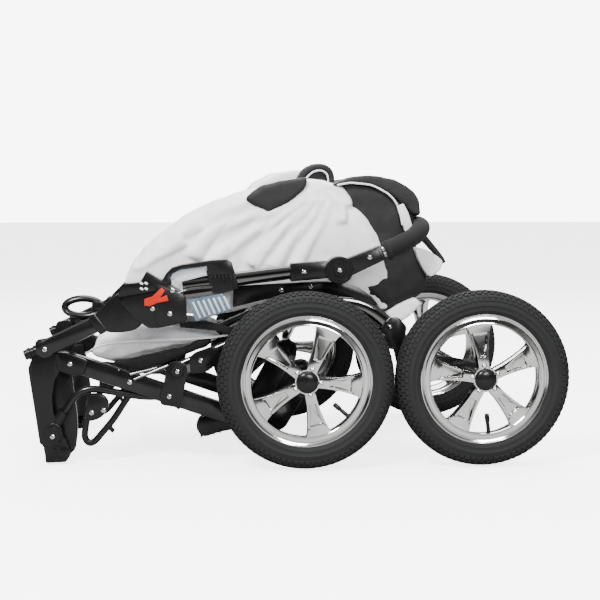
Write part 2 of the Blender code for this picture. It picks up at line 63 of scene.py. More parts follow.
# %% [markdown]
# ## Where things are
# The places that matter most are read from the joints: the two hubs, the pivots of the fold and the
# knuckle of the grip. Round parts are centred on them, and the side views are hung on the front hub,
# so they follow when the frame is packed again in another place.

# %% anchors
def anchor(name):
    x, _, z = joints[name]["pos_m"]
    return Vector((x, z))


FRONT_HUB = anchor("frame_unfold")
LEG_PIVOT = anchor("leg_fold")
HANDLE_PIVOT = anchor("handle_fold")
KNUCKLE = anchor("grip_tilt")
REAR_HUB = anchor("rear_left_spin")


def width_of(node):
    """The two Y planes of a left-hand solid, low first."""
    low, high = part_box(node)
    return low.y, high.y


print("hubs at", [round(v, 3) for v in (*FRONT_HUB, *REAR_HUB)])

# %% [markdown]
# ## Shader arithmetic
# A finish is easier to read as a sum than as a list of links. `Value` wraps one socket, and each
# operator on it adds a Math node. `Finish` owns a material: its constants go straight on the
# Principled shader, and `node` adds any other node from its type, settings and inputs.

# %% a socket that can be added and multiplied
class Value:
    def __init__(self, finish, socket):
        self.finish = finish
        self.socket = socket

    def math(self, operation, first, second):
        return self.finish.node("ShaderNodeMath", {"operation": operation},
                                {0: first, 1: second})

    def __add__(self, other):
        return self.math("ADD", self, other)

    def __radd__(self, other):
        return self.math("ADD", other, self)

    def __sub__(self, other):
        return self.math("SUBTRACT", self, other)

    def __rsub__(self, other):
        return self.math("SUBTRACT", other, self)

    def __mul__(self, other):
        return self.math("MULTIPLY", self, other)

    def __rmul__(self, other):
        return self.math("MULTIPLY", other, self)

    def __pow__(self, other):
        return self.math("POWER", self, other)

    def wave(self):
        return self.math("SINE", self, 0.0)


class Finish:
    def __init__(self, name, **constants):
        self.material = bpy.data.materials.new(name)
        self.material.use_nodes = True
        self.tree = self.material.node_tree
        self.shader = self.tree.nodes["Principled BSDF"]
        for socket, value in constants.items():
            self.shader.inputs[socket.replace("_", " ")].default_value = value

    def node(self, kind, settings=None, inputs=None, output=0):
        made = self.tree.nodes.new(kind)
        for setting, value in (settings or {}).items():
            if setting == "stops":
                for stop, (place, colour) in zip(made.color_ramp.elements, value):
                    stop.position = place
                    stop.color = colour
            else:
                setattr(made, setting, value)
        for socket, value in (inputs or {}).items():
            self.feed(value, made.inputs[socket])
        return Value(self, made.outputs[output])

    def feed(self, value, socket):
        if isinstance(value, Value):
            self.tree.links.new(value.socket, socket)
        else:
            socket.default_value = value

    def set(self, socket, value):
        self.feed(value, self.shader.inputs[socket])

    def place(self):
        return self.node("ShaderNodeTexCoord", output=3)

    def axes(self):
        """The x, y and z of the object coordinates, as three values."""
        split = self.node("ShaderNodeSeparateXYZ", inputs={0: self.place()})
        return [Value(self, split.socket.node.outputs[index]) for index in range(3)]

    def noise(self, scale, detail=3.0, stretch=(1.0, 1.0, 1.0)):
        spread = self.node("ShaderNodeMapping", inputs={0: self.place(), "Scale": stretch})
        return self.node("ShaderNodeTexNoise",
                         inputs={"Vector": spread, "Scale": scale, "Detail": detail})

    def blend(self, amount, first, second):
        """A colour between two colours."""
        return self.node("ShaderNodeMix", {"data_type": "RGBA"},
                         {0: amount, 6: first, 7: second}, output=2)

    def bump(self, height, depth, strength=1.0):
        self.set("Normal", self.node("ShaderNodeBump",
                                     inputs={"Strength": strength, "Distance": depth,
                                             "Height": height}))
        return self


def grey(level, warm=0.0, alpha=1.0):
    return (level * (1 + warm), level, level * (1 - warm), alpha)


print("shader arithmetic ready")

# %% [markdown]
# ## Plastic, paint and rubber
# Moulded black plastic has a fine spark-eroded grain and a little more shine where hands rub it.
# Painted tube is smoother, with a faint orange-peel. Tyre rubber is dusty on the tread, and foam is
# a mass of tiny open cells. Each one is noise at the size of the real grain, so a close view holds.

# %% moulded black plastic
def black_plastic():
    finish = Finish("black_plastic", Specular_IOR_Level=0.25)
    cloudy = finish.noise(22.0, 4.0)
    grain = finish.noise(900.0, 2.0)
    finish.set("Base Color", finish.blend(cloudy, grey(0.0030), grey(0.0070)))
    finish.set("Roughness", 0.17 + cloudy * 0.14)
    return finish.bump(grain, 0.00010, 0.4)


# %% satin black tube
def black_tube():
    finish = Finish("black_tube", Coat_Roughness=0.08, Specular_IOR_Level=0.3)
    cloudy = finish.noise(30.0, 3.0)
    peel = finish.noise(420.0, 1.0)
    finish.set("Base Color", finish.blend(cloudy, grey(0.0028), grey(0.0058)))
    finish.set("Roughness", 0.16 + cloudy * 0.12)
    finish.set("Coat Weight", cloudy * 0.4)
    return finish.bump(peel, 0.00008, 0.35)


# %% tyre rubber
def tyre_rubber():
    finish = Finish("tyre_rubber", Specular_IOR_Level=0.22)
    dust = finish.noise(34.0, 5.0)
    grain = finish.noise(700.0, 2.0)
    finish.set("Base Color", finish.blend(dust, grey(0.0065, -0.03), grey(0.0150, -0.02)))
    finish.set("Roughness", 0.66 + dust * 0.22)
    return finish.bump(grain + dust * 2.0, 0.00022, 0.55)


# %% foam grip
def foam():
    finish = Finish("foam_grip", Specular_IOR_Level=0.2, Sheen_Weight=0.03,
                    Sheen_Roughness=0.6)
    cells = finish.node("ShaderNodeTexVoronoi",
                        inputs={"Vector": finish.place(), "Scale": 620.0})
    cloudy = finish.noise(40.0, 3.0)
    finish.set("Base Color", finish.blend(cloudy, grey(0.004), grey(0.010)))
    finish.set("Roughness", 0.78 + cloudy * 0.15)
    return finish.bump(cells, 0.00045, 0.8)


print("dark finishes defined")

# %% [markdown]
# ## Chrome, clear plastic and the red trigger
# Chrome is metal with almost no roughness, so what makes it believable is the faint smear of
# handling: patches where the roughness rises from about 0.05 to 0.14. The tinted chrome of the tubes is
# the same with a darker base. The clear mouldings let less than half of the light through. The window
# and the raised ribs of the cover are a paler cast of the same plastic; on the ribs this pale cast is a painted
# highlight, on top of the light that their round shape catches.

# %% bright and tinted chrome
def chrome(name="chrome", level=0.60, warm=0.014):
    finish = Finish(name, Metallic=1.0)
    smear = finish.noise(26.0, 5.0, (1.0, 1.0, 2.5))
    ripple = finish.noise(60.0, 2.0)
    finish.set("Base Color", finish.blend(smear, grey(level * 0.92, warm), grey(level, warm)))
    finish.set("Roughness", 0.03 + smear ** 2.0 * 0.22)
    return finish.bump(ripple, 0.0004, 0.12)


# %% clear and coloured plastics
def clear_plastic(name, dark, light):
    finish = Finish(name, Transmission_Weight=0.40, IOR=1.46)
    cloudy = finish.noise(70.0, 4.0)
    finish.set("Base Color", finish.blend(cloudy, dark, light))
    finish.set("Roughness", 0.06 + cloudy * 0.12)
    return finish.bump(cloudy, 0.0003, 0.3)


def trigger_red():
    finish = Finish("trigger_red", Specular_IOR_Level=0.25)
    cloudy = finish.noise(90.0, 3.0)
    finish.set("Base Color", finish.blend(cloudy, (0.36, 0.008, 0.001, 1), (0.46, 0.016, 0.002, 1)))
    finish.set("Roughness", 0.26 + cloudy * 0.16)
    return finish.bump(finish.noise(700.0, 1.0), 0.0001, 0.4)


print("bright finishes defined")

# %% [markdown]
# ## Woven cloth
# The cabin is a coated polyester: two sets of yarns, crossing about every millimetre, under a soft
# sheen. The yarns are two sine waves along directions that follow the body of the stroller, and
# slow noise gives the wandering tone that cloth has after folding. The charcoal cloth is the same
# weave, coarser and with less sheen.

# %% cloth
def cloth(name, dark, light, yarn, sheen, rough):
    finish = Finish(name, Sheen_Weight=sheen, Sheen_Roughness=0.45, Specular_IOR_Level=0.3)
    x, y, z = finish.axes()
    turns = math.tau / yarn
    warp = ((x + y) * turns).wave()
    weft = ((z + y * 0.6) * turns).wave()
    weave = warp * weft
    tone = finish.noise(14.0, 5.0)
    wear = finish.noise(160.0, 3.0)
    finish.set("Base Color", finish.blend(tone * 0.7 + wear * 0.3, dark, light))
    finish.set("Roughness", rough + wear * 0.14)
    return finish.bump(weave * 0.5 + wear, 0.00022, 0.5)


PAINT = {
    "black_plastic": black_plastic().material,
    "black_tube": black_tube().material,
    "tyre_rubber": tyre_rubber().material,
    "foam_grip": foam().material,
    "chrome": chrome().material,
    "dark_chrome": chrome("dark_chrome", 0.13, 0.02).material,
    "clear_plastic": clear_plastic("clear_plastic", (0.07, 0.11, 0.15, 1),
                                   (0.20, 0.27, 0.34, 1)).material,
    # the paler clear plastic: the window's own tint, and a painted highlight on the cover ribs
    "pale_clear_and_rib_highlight": clear_plastic("pale_clear_and_rib_highlight", (0.60, 0.66, 0.70, 1),
                                (0.85, 0.89, 0.92, 1)).material,
    "trigger_red": trigger_red().material,
    "white_cloth": cloth("white_cloth", (0.70, 0.705, 0.73, 1), (0.83, 0.83, 0.845, 1),
                         0.0011, 0.04, 0.42).material,
    "charcoal_cloth": cloth("charcoal_cloth", (0.0055, 0.0055, 0.0062, 1),
                            (0.012, 0.012, 0.013, 1), 0.0013, 0.03, 0.62).material,
}
for node in frame["record"]["subparts"]:
    slots = frame["nodes"][node["node"]].data.materials
    for index in range(len(slots)):
        slots[index] = PAINT[node["material_slot"]]
print(len(PAINT), "finishes, and every solid painted")

# %% [markdown]
# ## Modelling helpers
# Three shapes make most of a stroller. A moulding or a plate is an outline pulled out along Y with
# its edges rounded. A round part is a profile spun about an axis. A bent tube is a ring pulled along
# a route. `store` turns a finished bmesh into a piece that rides on its body, and `both_sides`
# also makes the mirror image for the right-hand side.

# %% outline, profile and route
def tidy(bm):
    bmesh.ops.remove_doubles(bm, verts=bm.verts, dist=0.000002)
    bmesh.ops.recalc_face_normals(bm, faces=bm.faces)
    return bm


def slab(outline, planes, corner=0.0, rim=0.001, corner_steps=3, rim_steps=2):
    """An outline given a thickness; upright corners and rims are rounded."""
    low, high = planes
    bm = bmesh.new()
    face = bm.faces.new([bm.verts.new((x, low, z)) for x, z in outline])
    grown = bmesh.ops.extrude_face_region(bm, geom=[face])["geom"]
    bmesh.ops.translate(bm, verts=[v for v in grown if isinstance(v, bmesh.types.BMVert)],
                        vec=(0, high - low, 0))
    tidy(bm)
    if corner:
        upright = [e for e in bm.edges if abs(e.verts[0].co.y - e.verts[1].co.y) > 1e-6]
        bmesh.ops.bevel(bm, geom=upright, offset=corner, segments=corner_steps, profile=0.5,
                        affect="EDGES", clamp_overlap=True, material=-1)
    if rim:
        rims = [e for e in bm.edges if abs(e.verts[0].co.y - e.verts[1].co.y) < 1e-6]
        bmesh.ops.bevel(bm, geom=rims, offset=rim, segments=rim_steps, profile=0.5,
                        affect="EDGES", clamp_overlap=True, material=-1)
    return tidy(bm)


def turned(profile, steps=40, middle=(0, 0, 0), along=(0, -1, 0), loop=True):
    """Spins (radius, height) points about an axis through middle."""
    bm = bmesh.new()
    points = [bm.verts.new((radius, 0, height)) for radius, height in profile]
    for first, second in zip(points, points[1:] + ([points[0]] if loop else [])):
        bm.edges.new((first, second))
    bmesh.ops.spin(bm, geom=bm.verts[:] + bm.edges[:], cent=(0, 0, 0), axis=(0, 0, 1),
                   angle=math.tau, steps=steps, use_merge=True)
    tidy(bm)
    turn = Vector((0, 0, 1)).rotation_difference(Vector(along)).to_matrix().to_4x4()
    bmesh.ops.transform(bm, verts=bm.verts, matrix=Matrix.Translation(middle) @ turn)
    return bm


def tube(route, size, sides=20, squareness=1.0, taper=(1.0, 1.0)):
    """A ring of the given width (along Y) and depth, pulled along a route; taper scales its ends."""
    points = [Vector(p) for p in route]
    bm = bmesh.new()
    ring = bmesh.ops.create_circle(bm, cap_ends=True, segments=sides, radius=0.5)["verts"]
    shape = [(v.co.x, v.co.y) for v in ring]
    last = len(points) - 1
    for index, point in enumerate(points):
        ahead = (points[min(index + 1, last)] - points[max(index - 1, 0)]).normalized()
        across = Vector((0, 1, 0))
        across = (across - ahead * across.dot(ahead))
        if across.length < 0.35:
            across = Vector((0, 0, 1)).cross(ahead)
        across.normalize()
        up = ahead.cross(across)
        if index:
            edges = {e for v in ring for e in v.link_edges
                     if e.verts[0] in ring and e.verts[1] in ring}
            grown = bmesh.ops.extrude_edge_only(bm, edges=list(edges))["geom"]
            new = [g for g in grown if isinstance(g, bmesh.types.BMVert)]
            partner = {}
            for vert in new:
                for edge in vert.link_edges:
                    other = edge.other_vert(vert)
                    if other in ring:
                        partner[other] = vert
            ring = [partner[v] for v in ring]
        share = taper[0] + (taper[1] - taper[0]) * index / last
        for vert, (a, b) in zip(ring, shape):
            vert.co = (point + across * squared(a, squareness) * size[0] * share
                       + up * squared(b, squareness) * size[1] * share)
    bmesh.ops.contextual_create(bm, geom=ring)
    return tidy(bm)


def squared(part, power):
    """Pushes a circle's coordinate towards a rounded rectangle's."""
    return math.copysign(abs(part * 2) ** power, part) / 2


def smooth_route(points, steps=8):
    """A Catmull-Rom curve through the given points."""
    full = [Vector(p) for p in points]
    full = [full[0] * 2 - full[1]] + full + [full[-1] * 2 - full[-2]]
    route = []
    for a, b, c, d in zip(full, full[1:], full[2:], full[3:]):
        for index in range(steps):
            t = index / steps
            route.append(0.5 * ((2 * b) + (c - a) * t + (2 * a - 5 * b + 4 * c - d) * t * t
                                + (3 * b - a - 3 * c + d) * t ** 3))
    return route + [full[-2]]


def side_route(points, y):
    return [(x, y, z) for x, z in points]


# %% storing pieces
def merge(*parts):
    """Puts several closed shapes into one mesh."""
    whole = bmesh.new()
    for part in parts:
        mesh = bpy.data.meshes.new("part")
        part.to_mesh(mesh)
        whole.from_mesh(mesh)
        bpy.data.meshes.remove(mesh)
        part.free()
    return whole


def store(name, bm, paint, body, stands_for=(), smooth=32):
    mesh = bpy.data.meshes.new(name)
    bm.to_mesh(mesh)
    bm.free()
    mesh.materials.append(PAINT[paint])
    mesh.shade_smooth()
    mesh.set_sharp_from_angle(angle=math.radians(smooth))
    made = bpy.data.objects.new(name, mesh)
    bpy.context.scene.collection.objects.link(made)
    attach(made, body)
    if stands_for:
        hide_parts(*stands_for)
    return made


def mirrored(bm):
    """The same shape for the right-hand side."""
    other = bm.copy()
    bmesh.ops.scale(other, verts=other.verts, vec=(1, -1, 1))
    bmesh.ops.reverse_faces(other, faces=other.faces)
    return other


def both_sides(name, bm, paint, body, stands_for="", smooth=32):
    """Stores a left-hand shape and its mirror image; body may hold {side}."""
    made = []
    for side, shape in (("right", mirrored(bm)), ("left", bm)):
        nodes = (f"{stands_for}_{side}",) if stands_for else ()
        full_name = f"{name}_{side}_full" if stands_for else f"{name}_{side}"
        made.append(store(full_name, shape, paint, body.format(side=side), nodes, smooth))
    return made


print("helpers ready")

# %% [markdown]
# ## Screws
# Every joint of the frame is held by a chrome pan-head screw. One head is a low dome with a socket
# in it, spun once; the list says where the heads sit, each as a side-view place, the plane that it
# rests on and the body that it moves with. Heads of one body are one piece.

# %% a screw head
SCREW_R = 0.0048


def screw_head(place, y, radius=SCREW_R):
    rim, pit = radius, radius * 0.36
    profile = [(rim, 0.0), (rim, 0.0008), (rim * 0.86, 0.0021), (rim * 0.55, 0.0029),
               (pit, 0.0031), (pit * 0.8, 0.0014), (0.00001, 0.0012), (0.00001, 0.0)]
    return turned(profile, 18, (place[0], y, place[1]))


def screws(name, body, places):
    heads = merge(*[screw_head(place, y) for place, y in places])
    both_sides(name, heads, "chrome", body)
    print(name, len(places), "heads a side")

# %% [markdown]
# ## Air tyres
# A tyre is a profile spun about the hub, with blocks of tread on it. The blocks of one cross-section
# are placed on the crown and the shoulder, each leaning with the surface below it, and a spin that
# duplicates repeats them all the way round. Neighbouring rows are half a step apart, which gives the
# broken outline of a knobbly tyre. Two low rings near the rim are part of the profile.

# %% tyres
WHEEL_Y = abs(joints["front_left_spin"]["pos_m"][1])
TYRE_R = FRONT_HUB.y
BLOCKS_ROUND = 84
TREAD_ROWS = ((0.1538, 0.0000, 0), (0.1532, 0.0082, 12), (0.1510, 0.0158, 32),
              (0.1462, 0.0222, 55), (0.1405, 0.0258, 74))


def tread_block(radius, height, lean, turn):
    bm = bmesh.new()
    bmesh.ops.create_cube(bm, size=1)
    bmesh.ops.scale(bm, vec=(0.0034, 0.0078, 0.0060), verts=bm.verts)
    bmesh.ops.bevel(bm, geom=bm.edges[:], offset=0.0005, segments=1, profile=0.5,
                    affect="EDGES", material=-1)
    place = (Matrix.Rotation(turn, 4, "Z") @ Matrix.Translation((radius, 0, height))
             @ Matrix.Rotation(-math.radians(lean), 4, "Y"))
    bmesh.ops.transform(bm, matrix=place, verts=bm.verts)
    return bm


def tyre():
    half = [(0.1139, 0.0196), (0.1162, 0.0224), (0.1200, 0.0246), (0.1212, 0.0258),
            (0.1224, 0.0254), (0.1290, 0.0268), (0.1302, 0.0276), (0.1314, 0.0271),
            (0.1370, 0.0267), (0.1430, 0.0247), (0.1478, 0.0205), (0.1508, 0.0145),
            (0.1524, 0.0075)]
    profile = ([(0.1139, -0.0150), *[(r, -h) for r, h in half], (0.1530, 0.0)]
               + half[::-1] + [(0.1139, 0.0150), (0.1180, 0.0100), (0.1180, -0.0100)])
    carcass = turned(profile, 96)
    step = math.tau / BLOCKS_ROUND
    rows = [tread_block(r, h * sign, lean * sign, step / 2 * (index % 2))
            for index, (r, h, lean) in enumerate(TREAD_ROWS) for sign in ((1, -1) if h else (1,))]
    knobs = merge(*rows)
    bmesh.ops.spin(knobs, geom=knobs.verts[:] + knobs.edges[:] + knobs.faces[:],
                   cent=(0, 0, 0), axis=(0, 0, 1), angle=math.tau - step,
                   steps=BLOCKS_ROUND - 1, use_duplicate=True)
    bmesh.ops.rotate(knobs, cent=(0, 0, 0), matrix=Matrix.Rotation(math.pi / 2, 3, "X"),
                     verts=knobs.verts)
    return merge(carcass, knobs)


# %% [markdown]
# ## Rims
# A rim has a rolled lip, a groove, a flat band and an inner bead, all in one spun profile. Each of
# the five spokes is an outline given a thickness, with a pocket pressed into its outer two thirds:
# the face is cut across, the part between the cuts is inset twice and pushed in. The raised edges
# that are left catch the light as two rails.

# %% rims
SPOKES = 5
RIM_FACE = 0.0198


def spoke():
    half = [(0.016, 0.0088), (0.040, 0.0098), (0.060, 0.0124), (0.080, 0.0165), (0.091, 0.0200),
            (0.0965, 0.0245), (0.0995, 0.0300)]
    outline = half + [(x, -z) for x, z in half[::-1]]
    bm = slab(outline, (-RIM_FACE, -0.001), rim=0)
    for cut in (0.036, 0.083):
        bmesh.ops.bisect_plane(bm, geom=bm.verts[:] + bm.edges[:] + bm.faces[:],
                               plane_co=(cut, 0, 0), plane_no=(1, 0, 0))
    pocket = [f for f in bm.faces if f.normal.y < -0.9
              and 0.036 < f.calc_center_median().x < 0.083]
    bmesh.ops.inset_region(bm, faces=pocket, thickness=0.0040, use_even_offset=True)
    bmesh.ops.inset_region(bm, faces=pocket, thickness=0.0022, depth=-0.0060)
    sharp = [e for e in bm.edges if e.is_manifold and e.calc_face_angle() > 0.6]
    bmesh.ops.bevel(bm, geom=sharp, offset=0.0011, segments=3, profile=0.5, affect="EDGES",
                    clamp_overlap=True, material=-1)
    for vert in bm.verts:
        if vert.co.y < -0.008:
            vert.co.y -= 0.0050 * (0.0975 - vert.co.x) / 0.08
    return tidy(bm)


def around(bm, count, first):
    """Repeats a shape round the wheel's axis, starting at an angle in degrees."""
    bmesh.ops.rotate(bm, cent=(0, 0, 0), verts=bm.verts,
                     matrix=Matrix.Rotation(-math.radians(first), 3, "Y"))
    step = math.tau / count
    bmesh.ops.spin(bm, geom=bm.verts[:] + bm.edges[:] + bm.faces[:], cent=(0, 0, 0),
                   axis=(0, 1, 0), angle=math.tau - step, steps=count - 1, use_duplicate=True)
    return bm


def rim(first_spoke):
    barrel = turned([
        (0.1136, 0.0190), (0.1146, 0.0202), (0.1144, 0.0216), (0.1130, 0.0222), (0.1114, 0.0214),
        (0.1104, 0.0190), (0.1086, 0.0182), (0.1070, 0.0186), (0.1062, RIM_FACE),
        (0.1002, RIM_FACE + 0.0004), (0.0996, 0.0212), (0.0982, 0.0216), (0.0972, 0.0208),
        (0.0966, 0.0190), (0.0972, 0.0080), (0.0985, 0.0000), (0.1000, -0.0120),
        (0.1040, -0.0185), (0.1080, -0.0212), (0.1130, -0.0222), (0.1144, -0.0214),
        (0.1136, -0.0190), (0.1080, -0.0120), (0.1060, -0.0060), (0.1060, 0.0060),
        (0.1080, 0.0120)], 96)
    hub = turned([(0.0070, -0.0240), (0.0130, -0.0240), (0.0150, -0.0220), (0.0160, -0.0060),
                  (0.0215, 0.0080), (0.0225, 0.0230), (0.0212, 0.0250), (0.0070, 0.0252)], 48)
    lug = turned([(0.00001, 0.0150), (0.0042, 0.0150), (0.0042, 0.0262), (0.0038, 0.0278),
                  (0.0024, 0.0290), (0.00001, 0.0294)], 16, (0.0236, 0, 0), loop=False)
    return merge(barrel, hub, around(spoke(), SPOKES, first_spoke),
                 around(lug, SPOKES, first_spoke))


def hub_cap():
    return turned([(0.0192, 0.0240), (0.0194, 0.0262), (0.0180, 0.0288), (0.0148, 0.0312),
                   (0.0095, 0.0328), (0.0040, 0.0334), (0.00001, 0.0335), (0.00001, 0.0240)], 40)


def valve(first_spoke):
    """The inner tube's valve, half-way between two spokes."""
    bm = turned([(0.00001, 0.0), (0.0036, 0.0), (0.0036, 0.0160), (0.0030, 0.0172),
                 (0.0030, 0.0188), (0.0042, 0.0198), (0.0044, 0.0320), (0.0034, 0.0338),
                 (0.00001, 0.0340)], 16, (0.0985, -0.004, 0), (-1, 0, 0), loop=False)
    bmesh.ops.rotate(bm, cent=(0, 0, 0), verts=bm.verts,
                     matrix=Matrix.Rotation(-math.radians(first_spoke - 180 / SPOKES), 3, "Y"))
    return bm


for end, hub, first_spoke in (("front", FRONT_HUB, -5.0), ("rear", REAR_HUB, -47.0)):
    for kind, shape, paint in (("tyre", tyre(), "tyre_rubber"), ("rim", rim(first_spoke), "chrome"),
                               ("hub_cap", hub_cap(), "black_plastic"),
                               ("valve", valve(first_spoke), "black_plastic")):
        bmesh.ops.translate(shape, vec=(hub.x, -WHEEL_Y, hub.y), verts=shape.verts)
        for side, made in (("right", mirrored(shape)), ("left", shape)):
            wheel = f"{end}_{side}_wheel"
            node = (f"{end}_{side}_{kind}",) if kind in ("tyre", "rim") else ()
            store(f"{end}_{side}_{kind}_full", made, paint, wheel, node)
print("wheels: radius", round(TYRE_R, 3), "with", BLOCKS_ROUND, "blocks round each tyre")

# %% [markdown]
# ## Drawing on the side view
# The stroller is read from the side, so each moulding starts as a side view. The views are drawn in
# millimetres with the front hub at (9, 156), and hung on the hub's real place in the frame.

# %% side views
DRAWN_HUB = Vector((0.009, 0.156))


def drawn(*points):
    shift = FRONT_HUB - DRAWN_HUB
    return [(x / 1000 + shift.x, z / 1000 + shift.y) for x, z in points]


def spot(x, z):
    return drawn((x, z))[0]


def strip(start, end, depth, planes, corner=0.0, rim=0.001, corner_steps=3, rim_steps=2):
    """A straight bar between two drawn places."""
    a, b = Vector(spot(*start)), Vector(spot(*end))
    across = (b - a).normalized().orthogonal() * depth / 2
    return slab([a + across, b + across, b - across, a - across], planes, corner, rim,
                corner_steps, rim_steps)


print("the drawing is moved by", [round(v, 4) for v in FRONT_HUB - DRAWN_HUB])

# %% [markdown]
# ## Handle legs and boots
# The folding leg is a straight tube with a rounded top, and the boot is a cup moulded over its end.
# Both are strips between two places of the side view, with their long edges rounded, so that a
# narrow highlight runs along the top as it does on extruded tube.

# %% handle legs, boots and end stubs
HANDLE_PLANES = (-0.2045, -0.1755)

leg = strip((-448, 208), (-352, 254), 0.029, HANDLE_PLANES, 0.0, 0.0062)
eye = turned([(0.0052, 0.0), (0.0125, 0.0), (0.0150, 0.0012), (0.0150, 0.0270), (0.0125, 0.0282),
              (0.0052, 0.0282)], 36, (HANDLE_PIVOT.x, HANDLE_PLANES[1], HANDLE_PIVOT.y))
both_sides("handle_leg", merge(leg, eye), "black_tube", "handle", "handle_leg")

boot = slab(drawn((-356, 270), (-322, 304), (-300, 312), (-284, 308), (-271, 286), (-270, 258),
                  (-284, 243), (-308, 238), (-338, 239)),
            (-0.2075, -0.1752), 0.012, 0.0100, 5, 5)
collar = slab(drawn((-367, 262), (-357, 273), (-334, 242), (-347, 234)), (-0.2090, -0.1750),
              0.003, 0.0024)
both_sides("boot", merge(boot, collar), "black_plastic", "handle", "boot")

stubs = [turned([(0.00001, 0.0), (r, 0.0), (r, 0.0052), (0.00001, 0.0052)], 28,
                (spot(-474, 197)[0] + 0.0062 * step * 0.93, -0.1900, spot(0, 200)[1]
                 + 0.0062 * step * 0.35), (-0.93, 0, -0.35), loop=False)
         for step, r in ((0, 0.0088), (1, 0.0104), (2, 0.0090), (3, 0.0104))]
both_sides("handle_end", merge(*stubs), "black_plastic", "front_frame")

# %% [markdown]
# ## Lock housings
# The lock is a moulding with a finger loop over the tube, a ribbed sliding sleeve, a clear window
# and a red fork to pull. It is built from overlapping slabs, as a moulding with this many levels is
# easier to draw layer by layer than to cut. The clear cover is one slab with a row of half-round
# ribs on it. On the raised block above the trigger, four small white chips are painted light: they stand for light
# seen through its slots.

# %% lock housings
LOCK_FACE, LOCK_BACK = -0.2125, -0.1765
body = slab(drawn((-312, 292), (-297, 318), (-262, 327), (-238, 331), (-226, 322), (-205, 309),
                  (-198, 297), (-196, 256), (-243, 246), (-262, 245), (-288, 262)),
            (LOCK_FACE + 0.003, -0.1760), 0.004, 0.0022)
tower = slab(drawn((-252, 322), (-240, 320), (-206, 306), (-197, 296), (-197, 258), (-243, 248),
                   (-252, 256)), (LOCK_FACE, LOCK_BACK), 0.005, 0.0016)
loop = slab(drawn((-243, 322), (-232, 341), (-222, 351), (-205, 356), (-150, 364), (-126, 365),
                  (-117, 360), (-113, 340), (-160, 338), (-161, 354), (-206, 348), (-221, 341),
                  (-229, 322)), (LOCK_FACE + 0.001, -0.1790), 0.0018, 0.0018)
sleeve = slab(drawn((-163, 346), (-114, 350), (-105, 314), (-133, 306), (-152, 305)),
              (-0.2080, LOCK_BACK), 0.003, 0.0018)
ribs = [strip((-155 + 6.4 * step, 341 + 0.6 * step), (-147 + 5.9 * step, 309 + 1.1 * step), 0.0032,
              (-0.2100, -0.2070), 0, 0.0008) for step in range(7)]
block = slab(drawn((-316, 300), (-309, 323), (-277, 326), (-266, 345), (-238, 328), (-226, 342),
                   (-222, 322), (-240, 313), (-268, 308)), (LOCK_FACE + 0.0005, -0.1800), 0.002,
             0.0014)
both_sides("lock_housing", merge(body, tower, loop, sleeve, block, *ribs), "black_plastic",
           "handle", "lock_housing")
# Four white chips on the raised block are painted light: they stand for light seen through its slots.
painted_light_chips = [strip((-277 + 8.0 * column, 326 - 9.5 * row), (-272 + 8.0 * column, 323 - 9.5 * row),
                  0.0036, (LOCK_FACE - 0.0002, LOCK_FACE + 0.0040), 0, 0.0006)
            for row in (0, 1) for column in (0, 1)]
both_sides("lock_painted_slot_light", merge(*painted_light_chips), "white_cloth", "handle")

# %% clear window and cover
window = slab(drawn((-229, 331), (-216, 347), (-160, 354), (-159, 338), (-205, 326)),
              (-0.2040, -0.1850), 0.002, 0.0010)
both_sides("lock_window", window, "pale_clear_and_rib_highlight", "handle")

cover = slab(drawn((-196, 294), (-134, 306), (-117, 276), (-181, 256)), (-0.2070, -0.1860),
             0.003, 0.0014)
# The ribs take the paler clear plastic, a painted highlight standing for the bright lines along them.
cover_ribs = [strip((-186 + 9.0 * step, 291 + 1.6 * step), (-173 + 8.6 * step, 262 + 2.6 * step),
                    0.0042, (-0.2100, -0.2060), 0, 0.0019, 3, 4) for step in range(7)]
both_sides("clear_cover", cover, "clear_plastic", "handle", "clear_cover")
both_sides("cover_ribs", merge(*cover_ribs), "pale_clear_and_rib_highlight", "handle")

# %% red trigger
trigger = slab(drawn((-270, 297), (-256, 301.5), (-240, 317), (-234, 312), (-243, 298.5), (-231, 304),
                     (-228, 294), (-248, 290), (-261, 284.5), (-270, 285.5)),
               (LOCK_FACE - 0.0022, LOCK_FACE + 0.004), 0.0012, 0.0009)
grooves = [strip((-266, 291 + 3 * step), (-240, 296 + 12 * step), 0.0014,
                 (LOCK_FACE - 0.0028, LOCK_FACE - 0.0015), 0, 0.0004) for step in (0, 1)]
both_sides("lock_trigger", merge(trigger, *grooves), "trigger_red", "trigger_{side}",
           "lock_trigger")
screws("lock_screws", "handle", [(spot(-221, 312), LOCK_FACE), (spot(-226, 271), LOCK_FACE),
                                 (spot(-256, 280), LOCK_FACE + 0.003)])

# %% [markdown]
# ## Upper tube and knuckles
# The oval tube between the lock and the knuckle is a squared ring pulled along a line. A knuckle has
# two halves that turn on one pin: each is a disc with a bracket, and a thin raised frame set in from
# the bracket's edge. The frame is the same outline drawn smaller, so it follows the edge evenly.

# %% oval tube and lower knuckle
HANDLE_MID = -0.190
oval = tube(side_route(drawn((-204, 318), (-110, 329.5), (-14, 341)), HANDLE_MID),
            (0.017, 0.025), 28, 0.8)
both_sides("handle_tube", oval, "dark_chrome", "handle", "handle_tube")
rail = tube(smooth_route(side_route(drawn((-213, 306), (-196, 312), (-176, 315), (-152, 317)),
                                    -0.2085), 6), (0.0030, 0.0036), 14)
shelf = strip((-206, 302), (-134, 313), 0.011, (-0.2070, -0.1800), 0, 0.0016)
both_sides("lock_rail", merge(rail, shelf), "dark_chrome", "handle")


def framed(outline, planes, share=0.80, raise_by=0.0008):
    """A bracket with a thin raised panel set in from its edge."""
    low, high = planes
    middle = sum((Vector(p) for p in outline), Vector((0, 0))) / len(outline)
    inner = [middle + (Vector(p) - middle) * share for p in outline]
    return merge(slab(outline, planes, 0.003, 0.0016),
                 slab(inner, (low - raise_by, low + 0.003), 0.002, 0.0006))


